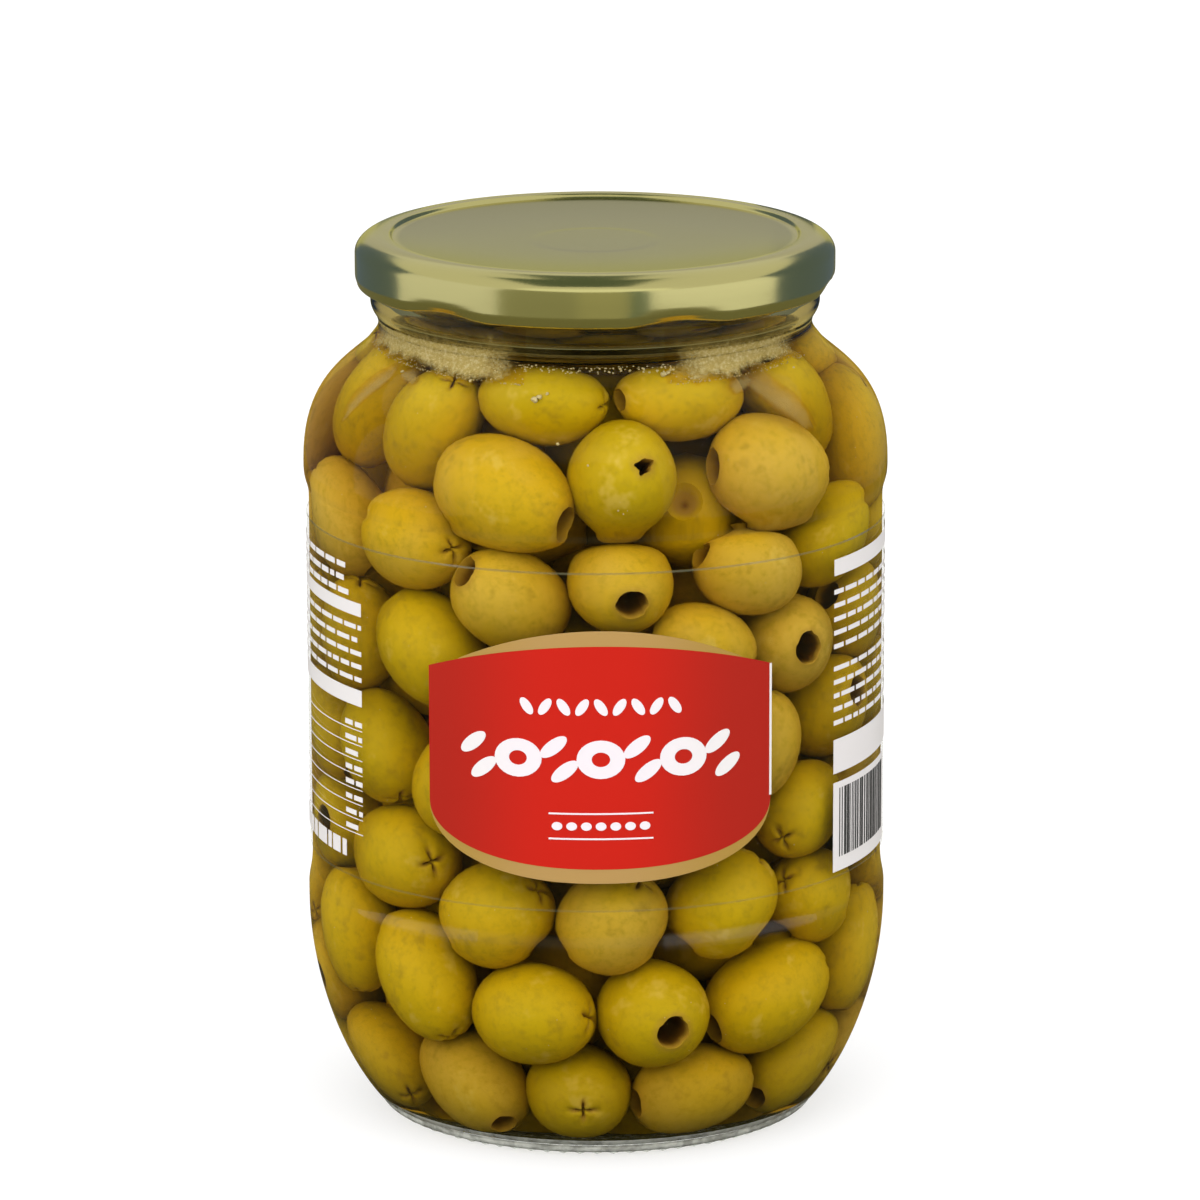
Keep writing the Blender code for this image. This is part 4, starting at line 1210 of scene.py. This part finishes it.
def olives_behind(centres, axes, lengths, widths):
    """A second layer of olives, pushed out into the hollows between those at the glass."""
    rng = np.random.default_rng(INNER_SEED)
    places = []
    for row in range(INNER_ROWS):
        for step in range(INNER_IN_ROW):
            azimuth = 2 * math.pi * (step + 0.5 * (row % 2)) / INNER_IN_ROW + rng.uniform(-0.1, 0.1)
            height = INNER_FIRST + INNER_SPACING * row + rng.uniform(-2, 2) * MM
            places.append((INNER_RADIUS * math.sin(azimuth), -INNER_RADIUS * math.cos(azimuth), height))
    places = np.array(places)
    count = len(places)
    turns = rng.normal(size=(count, 3))
    turns /= np.linalg.norm(turns, axis=1)[:, None]
    own_lengths = OLIVE_LENGTH * rng.uniform(0.95, 1.08, count)
    own_widths = OLIVE_WIDTH * rng.uniform(0.95, 1.03, count)
    all_axes = np.concatenate([turns, axes])
    all_lengths = np.concatenate([own_lengths, lengths])
    all_widths = np.concatenate([own_widths, widths])
    for _ in range(INNER_STEPS):
        everyone = np.concatenate([places, centres])
        apart = everyone[None, :, :] - places[:, None, :]
        distance = np.linalg.norm(apart, axis=2)
        distance[np.arange(count), np.arange(count)] = 1.0
        direction = apart / distance[:, :, None]
        mine = reach_along(turns[:, None, :], own_lengths[:, None], own_widths[:, None], direction)
        theirs = reach_along(all_axes[None, :, :], all_lengths[None, :], all_widths[None, :], direction)
        overlap = np.clip(mine + theirs - distance, 0.0, None)
        overlap[np.arange(count), np.arange(count)] = 0.0
        places = places - INNER_STRIDE * np.sum(direction * overlap[:, :, None], axis=1)
        outward = places * np.array((1.0, 1.0, 0.0))
        outward /= np.linalg.norm(outward, axis=1)[:, None]
        places = places + INNER_DRIFT * outward
        places[:, 2] = np.clip(places[:, 2], INNER_LOWEST, INNER_HIGHEST)
    return places, turns, own_lengths, own_widths


def olive_shape(seed, sides, fine, hole=0.165, tear=0.0):
    """Unit olive along Z: a pit hole at its upper end, the pitter's small cross at its lower."""
    outer = []
    rings = 15 if fine else 8
    last = 90.0 - math.degrees(math.asin(2 * hole))
    lowest = -78.0 if fine else -70.0
    for step in range(rings + 1):
        angle = math.radians(lowest + (last - lowest) * step / rings)
        outer.append((0.5 * math.cos(angle) ** 0.94, 0.5 * math.sin(angle)))
    base = [(0.0, -0.5), (0.03, -0.4995), (0.06, -0.497)] if fine else [(0.0, -0.5)]
    rim_radius, rim_height = outer[-1]
    inside = [
        (rim_radius * 0.93, rim_height + 0.004),
        (rim_radius * 0.88, rim_height - 0.02),
        (rim_radius * 0.86, rim_height - 0.10),
        (rim_radius * 0.90, rim_height - 0.30),
        (rim_radius * 0.80, rim_height - 0.46),
        (0.0, rim_height - 0.50),
    ]
    bm = turned(base + outer + inside, sides)
    flesh = bm.verts.layers.float.new("flesh")
    for vert in bm.verts:
        radius = math.hypot(vert.co.x, vert.co.y)
        angle = math.atan2(vert.co.y, vert.co.x)
        around = Vector((math.cos(angle), math.sin(angle), seed * 3.7))
        if vert.co.z > 0 and radius < rim_radius * 1.02:
            torn = 1.0 + 0.16 * noise.noise(around * 1.3) + 0.10 * noise.noise(around * 4.0)
            torn += tear * max(0.0, math.cos(2.5 * angle)) ** 3 - 0.3 * tear
            vert.co.x *= torn
            vert.co.y *= torn * (0.92 + 0.1 * noise.noise(Vector((seed, 0.3, 0.1))))
            # Flesh in the pit hole; its value rises with depth, so that the skin's material paints it
            # darker as shade
            depth = rim_height - vert.co.z
            vert[flesh] = 0.45 + min(depth * 4.0, 0.55) if depth > 0.01 else 0.3
        elif vert.co.z < -0.4 and radius < 0.15:
            arms = abs(math.cos(2.0 * angle)) ** 6
            cut = max(0.0, 1.0 - radius / 0.15)
            vert.co.z += 0.10 * arms * cut ** 0.7 + 0.05 * cut ** 3
            # Flesh in the cross's cuts, with a high value, so that the skin's material paints the cuts dark
            # as shade
            vert[flesh] = 0.9 * min(1.0, cut * 1.8) * arms
        if not (vert.co.z > 0 and radius < rim_radius):
            spot = Vector((vert.co.x * 2.4, vert.co.y * 2.4, vert.co.z * 2.4 + seed * 5.1))
            vert.co *= 1.0 + 0.035 * noise.noise(spot)
            vert.co.x *= 1.0 + 0.05 * vert.co.z
            vert.co.y *= 1.0 + 0.05 * vert.co.z
    mesh = bpy.data.meshes.new("olive_shape")
    bm.to_mesh(mesh)
    bm.free()
    return mesh


def heap_of(name, shapes, centres, axes, lengths, widths, holes, material, replaces=()):
    """One mesh of many olives, each a turned and stretched copy of its shape."""
    rng = np.random.default_rng(TONE_SEED)
    bm = bmesh.new()
    tone = bm.verts.layers.float.new("tone")
    bm.verts.layers.float.new("flesh")
    for number in range(len(centres)):
        before = len(bm.verts)
        bm.from_mesh(shapes[number])
        bm.verts.ensure_lookup_table()
        fresh = bm.verts[before:]
        axis = Vector(axes[number]) * (1.0 if holes[number] else -1.0)
        spin = Matrix.Rotation(rng.uniform(0, 2 * math.pi), 4, "Z")
        turn = Vector((0, 0, 1)).rotation_difference(axis).to_matrix().to_4x4()
        size = Matrix.Diagonal((widths[number], widths[number], lengths[number], 1.0))
        place = Matrix.Translation(centres[number]) @ turn @ size @ spin
        bmesh.ops.transform(bm, matrix=place, verts=fresh)
        own_tone = rng.uniform(0.0, 1.0)
        for vert in fresh:
            vert[tone] = own_tone
    return finished(name, bm, material, 50.0, replaces)


def make_olives():
    """The heap: olives at the glass, those behind them, and a dark heart that no light reaches."""
    skin = olive_skin()
    centres, axes, lengths, widths, pits = settle_olives()
    kinds = [olive_shape(seed, 28, True) for seed in range(OLIVE_KINDS)]
    shapes = [kinds[number % OLIVE_KINDS] for number in range(len(centres))]
    shapes[TORN_OLIVE] = olive_shape(TORN_KIND, 40, True, 0.085, 0.35)
    heap_of("olives_outer", shapes, centres, axes, lengths, widths, pits, skin, ["olives"])
    places, turns, own_lengths, own_widths = olives_behind(centres, axes, lengths, widths)
    kinds = [olive_shape(seed + INNER_FIRST_KIND, 16, False) for seed in range(INNER_KINDS)]
    shapes = [kinds[number % INNER_KINDS] for number in range(len(places))]
    either = np.sum(turns[:, :2] * places[:, :2], axis=1) < 0.0
    heap_of("olives_inner", shapes, places, turns, own_lengths, own_widths, either, skin)
    bm = turned(eased((
        (0.0, HEART_BOTTOM, 0.0),
        (HEART_RADIUS, HEART_BOTTOM, 6.0 * MM),
        (HEART_RADIUS, HEART_TOP - 2.0 * MM, 8.0 * MM),
        (0.0, HEART_TOP, 0.0),
    ), 6), 48)
    finished("heap_heart", bm, heap_dark(), 40.0)


def wall_radius(height):
    """Radius of the jar's inner wall at a height."""
    wall = sorted((z, radius) for radius, z in glass_inside() if radius > MOUTH_RADIUS - 1 * MM)
    return float(np.interp(height, [z for z, _ in wall], [radius for _, radius in wall]))


def off_wall(azimuth, height, gap):
    """Point inside the jar a little off the glass; azimuth in degrees."""
    turn = math.radians(azimuth)
    radius = wall_radius(height) - gap
    return Vector((radius * math.sin(turn), -radius * math.cos(turn), height))


def bead_shape(fineness, lumpiness):
    """Ball of radius 1, as a bubble or, with lumps, as a crumb of pulp."""
    bm = bmesh.new()
    bmesh.ops.create_icosphere(bm, subdivisions=fineness, radius=1.0)
    for vert in bm.verts:
        vert.co *= 1.0 + lumpiness * noise.noise(vert.co * 1.4)
    mesh = bpy.data.meshes.new("bead_shape")
    bm.to_mesh(mesh)
    bm.free()
    return mesh


def add_beads(bm, shape, beads):
    """Copies of one bead; each is (azimuth in degrees, height, distance off the glass, radius)."""
    for number, (azimuth, height, gap, size) in enumerate(beads):
        before = len(bm.verts)
        bm.from_mesh(shape)
        bm.verts.ensure_lookup_table()
        place = Matrix.Translation(off_wall(azimuth, height, gap))
        turn = Matrix.Rotation(2.4 * number, 4, "X") @ Matrix.Rotation(1.7 * number, 4, "Z")
        bmesh.ops.transform(bm, matrix=place @ turn @ Matrix.Scale(size, 4), verts=bm.verts[before:])


def add_patch(bm, columns, rows, where):
    """Thin sheet on the glass; where(across, up) gives each corner's place and how dense it is."""
    body = bm.verts.layers.float.get("body") or bm.verts.layers.float.new("body")
    grid = bmesh.ops.create_grid(bm, x_segments=columns, y_segments=rows, size=1.0)
    for vert in grid["verts"]:
        place, dense = where(vert.co.x, vert.co.y)
        vert.co = off_wall(*place)
        vert[body] = dense
    thicken(bm, faces_at(grid["verts"]), PATCH_THICKNESS)


def make_froth():
    """Foam that clings to the neck at the liquid's level, ragged along its lower edge."""
    bm = bmesh.new()
    for first, last in FROTH_SPANS:
        def where(across, up, first=first, last=last):
            azimuth = first + (last - first) * (across + 1.0) / 2
            ends = min(azimuth - first, last - azimuth)
            ragged = noise.noise(Vector((azimuth * 0.11, 0.7, 0.0)))
            crumbly = noise.noise(Vector((azimuth * 0.5, 1.9, 0.0)))
            low = FROTH_LOW + (1.2 * ragged + 0.8 * crumbly) * MM
            height = low + (FROTH_HIGH - low) * (up + 1.0) / 2
            edge = min((height - low) / FROTH_LOW_FADE, (FROTH_HIGH - height) / FROTH_HIGH_FADE,
                       ends / FROTH_END_FADE, 1.0)
            lump = max(0.0, noise.noise(Vector((azimuth * 0.4, height * 500.0, 0.0))))
            return (azimuth, height, (0.15 + 0.3 * lump) * MM), edge
        add_patch(bm, int(last - first), FROTH_ROWS, where)
    bmesh.ops.recalc_face_normals(bm, faces=bm.faces)
    finished("froth", bm, foam(), 60.0)


def make_pulp():
    """Bubbles in the foam, at the liquid's level and on the glass, and crumbs of pulp."""
    rng = np.random.default_rng(BUBBLE_SEED)
    beads = []
    for first, last in FROTH_SPANS:
        for _ in range(int(FOAM_BUBBLES * (last - first))):
            height = FROTH_LOW + rng.uniform(-0.9, 4.5) ** 2 / 4.5 * MM
            beads.append((rng.uniform(first, last), height, rng.uniform(0.15, 0.6) * MM,
                          rng.uniform(0.06, 0.16) * MM))
    for _ in range(LEVEL_BUBBLES):
        beads.append((rng.uniform(-22.0, 21.0), rng.uniform(143.2, 144.8) * MM, 0.3 * MM,
                      rng.uniform(0.10, 0.26) * MM))
    for _ in range(STRAY_BUBBLES):
        beads.append((rng.uniform(-180.0, 180.0), rng.uniform(20.0, 141.0) * MM, 0.15 * MM,
                      rng.uniform(0.05, 0.11) * MM))
    bm = bmesh.new()
    add_beads(bm, bead_shape(1, 0.0), beads)
    crumbs = [(azimuth, height * MM, 0.4 * MM, size * MM) for azimuth, height, size in PULP_CRUMBS]
    add_beads(bm, bead_shape(3, 0.5), crumbs)
    finished("pulp", bm, pale_pulp(), 60.0)


def make_loose_skins():
    """Thin scraps of olive skin that lie against the shoulder of the glass."""
    bm = bmesh.new()
    for azimuth, height, length, width, tilt in LOOSE_SKINS:
        turn = Matrix.Rotation(math.radians(tilt), 2)

        def where(across, up, azimuth=azimuth, height=height, length=length, width=width, turn=turn):
            ragged = 1.0 + 0.25 * noise.noise(Vector((across * 2.0, up * 1.5, azimuth)))
            bowed = up * math.sqrt(max(0.04, 1.0 - across ** 2)) + 0.35 * (1.0 - across ** 2)
            flat = turn @ Vector((across * length / 2, bowed * width / 2)) * ragged
            fold = 0.35 + 0.3 * noise.noise(Vector((flat.x * 0.4, flat.y * 0.4, azimuth)))
            around = azimuth + math.degrees(flat.x * MM / OLIVE_TRACK_RADIUS)
            edge = min((1.0 - abs(across)) * 2.5, (1.0 - up) * 0.9, (1.0 + up) * 2.0, 1.0)
            return (around, (height + flat.y) * MM, fold * MM), edge
        add_patch(bm, 24, 16, where)
    bmesh.ops.recalc_face_normals(bm, faces=bm.faces)
    finished("loose_skins", bm, loose_skin(), 60.0)


def aimed(position, target):
    """Rotation that turns a lamp's or card's -Z towards the target."""
    return (Vector(target) - Vector(position)).to_track_quat("-Z", "Y").to_euler()


def soft_box(name, position, target, width, height, power):
    lamp = bpy.data.lights.new(name, "AREA")
    lamp.shape = "RECTANGLE"
    lamp.size = width
    lamp.size_y = height
    lamp.energy = power
    item = bpy.data.objects.new(name, lamp)
    item.location = position
    item.rotation_euler = aimed(position, target)
    item.visible_camera = False
    item.visible_glossy = False
    item.visible_transmission = False
    bpy.context.scene.collection.objects.link(item)


def flat_card(name, material):
    """Level square of side 1 that isn't part of the object."""
    bm = bmesh.new()
    bmesh.ops.create_grid(bm, x_segments=1, y_segments=1, size=0.5)
    mesh = bpy.data.meshes.new(name)
    bm.to_mesh(mesh)
    bm.free()
    mesh.materials.append(material)
    card = bpy.data.objects.new(name, mesh)
    bpy.context.scene.collection.objects.link(card)
    return card


def show_in_mirrors(card):
    """Keep a card out of the picture and off the lighting: it only shows in glossy surfaces."""
    card.visible_camera = False
    card.visible_diffuse = False
    card.visible_shadow = False
    card.visible_transmission = False


def board(name, tone, azimuth, distance, spread, low, high):
    """Standing card that faces the jar; spread is half its width as an angle."""
    card = flat_card(name, board_glow(name, tone))
    turn = math.radians(azimuth)
    card.location = (distance * math.sin(turn), -distance * math.cos(turn), (low + high) / 2)
    card.rotation_euler = (math.pi / 2, 0.0, turn)
    card.scale = (2.0 * distance * math.tan(math.radians(spread)), high - low, 1.0)
    show_in_mirrors(card)


def ceiling(name, tone, left, right, near, far, height):
    """Level card overhead."""
    card = flat_card(name, board_glow(name, tone))
    card.location = ((left + right) / 2, (near + far) / 2, height)
    card.scale = (right - left, far - near, 1.0)
    show_in_mirrors(card)


def make_sky():
    """White behind the jar, dimmer where the cap mirrors it, golden where the glass bends the view."""
    recipe = Recipe("studio", "worlds")
    direction = recipe.add("TexCoord", output="Generated")
    aside = recipe.maths("ABSOLUTE", recipe.coordinate("X", direction))
    golden = recipe.blend(recipe.steps(aside, 0.1, 0.5), (0.08, 0.062, 0.020), (0.44, 0.33, 0.10))
    colour = recipe.blend(recipe.ray("Glossy"), (1.0, 1.0, 1.0), (0.72, 0.71, 0.64))
    colour = recipe.blend(recipe.ray("Transmission"), colour, golden)
    colour = recipe.blend(recipe.after_bounce(), colour, (1.35, 1.35, 1.35))
    bpy.context.scene.world = recipe.done(recipe.add("Background", inputs={"Color": colour}))


def make_studio():
    """Pale floor, soft sky, three soft boxes, and cards for the cap to mirror."""
    floor = flat_card("floor", floor_card())
    floor.scale = (FLOOR_SIDE, FLOOR_SIDE, 1.0)
    make_sky()
    for name, place, width, height, power in SOFT_BOXES:
        soft_box(name, place, LIT_POINT, width, height, power)
    for card in BOARDS:
        board(*card)
    for card in CEILINGS:
        ceiling(*card)


def make_camera():
    pitch = math.radians(CAMERA_PITCH)
    roll = math.radians(CAMERA_ROLL)
    ahead = Vector((0.0, math.cos(pitch), -math.sin(pitch)))
    upward = Vector((0.0, math.sin(pitch), math.cos(pitch)))
    right = Vector((1.0, 0.0, 0.0))
    aim = Vector((0.0, 0.0, AIM_HEIGHT))
    place = aim - ahead * CAMERA_DISTANCE - right * AIM_RIGHT + upward * AIM_UP
    rolled_right = right * math.cos(roll) - upward * math.sin(roll)
    rolled_up = upward * math.cos(roll) + right * math.sin(roll)
    turn = Matrix((rolled_right, rolled_up, -ahead)).transposed().to_4x4()
    lens = bpy.data.cameras.new("camera")
    lens.sensor_width = SENSOR_WIDTH
    lens.lens = LENS_PIXELS / PICTURE_SIDE * SENSOR_WIDTH
    lens.clip_end = 20.0
    camera = bpy.data.objects.new("camera", lens)
    camera.matrix_world = Matrix.Translation(place) @ turn
    bpy.context.scene.collection.objects.link(camera)
    bpy.context.scene.camera = camera


def main():
    make_camera()
    make_studio()
    make_glass()
    make_brine()
    make_cap()
    make_label()
    make_olives()
    make_froth()
    make_pulp()
    make_loose_skins()
    scene = bpy.context.scene
    scene.view_settings.view_transform = "Standard"
    # Few dull bounces, but enough clear layers to see through film, glass and brine and out again
    scene.cycles.diffuse_bounces = 1
    scene.cycles.max_bounces = 7
    scene.cycles.transparent_max_bounces = 16
    scene.cycles.light_sampling_threshold = 0.04
    bpy.context.view_layer.update()


main()
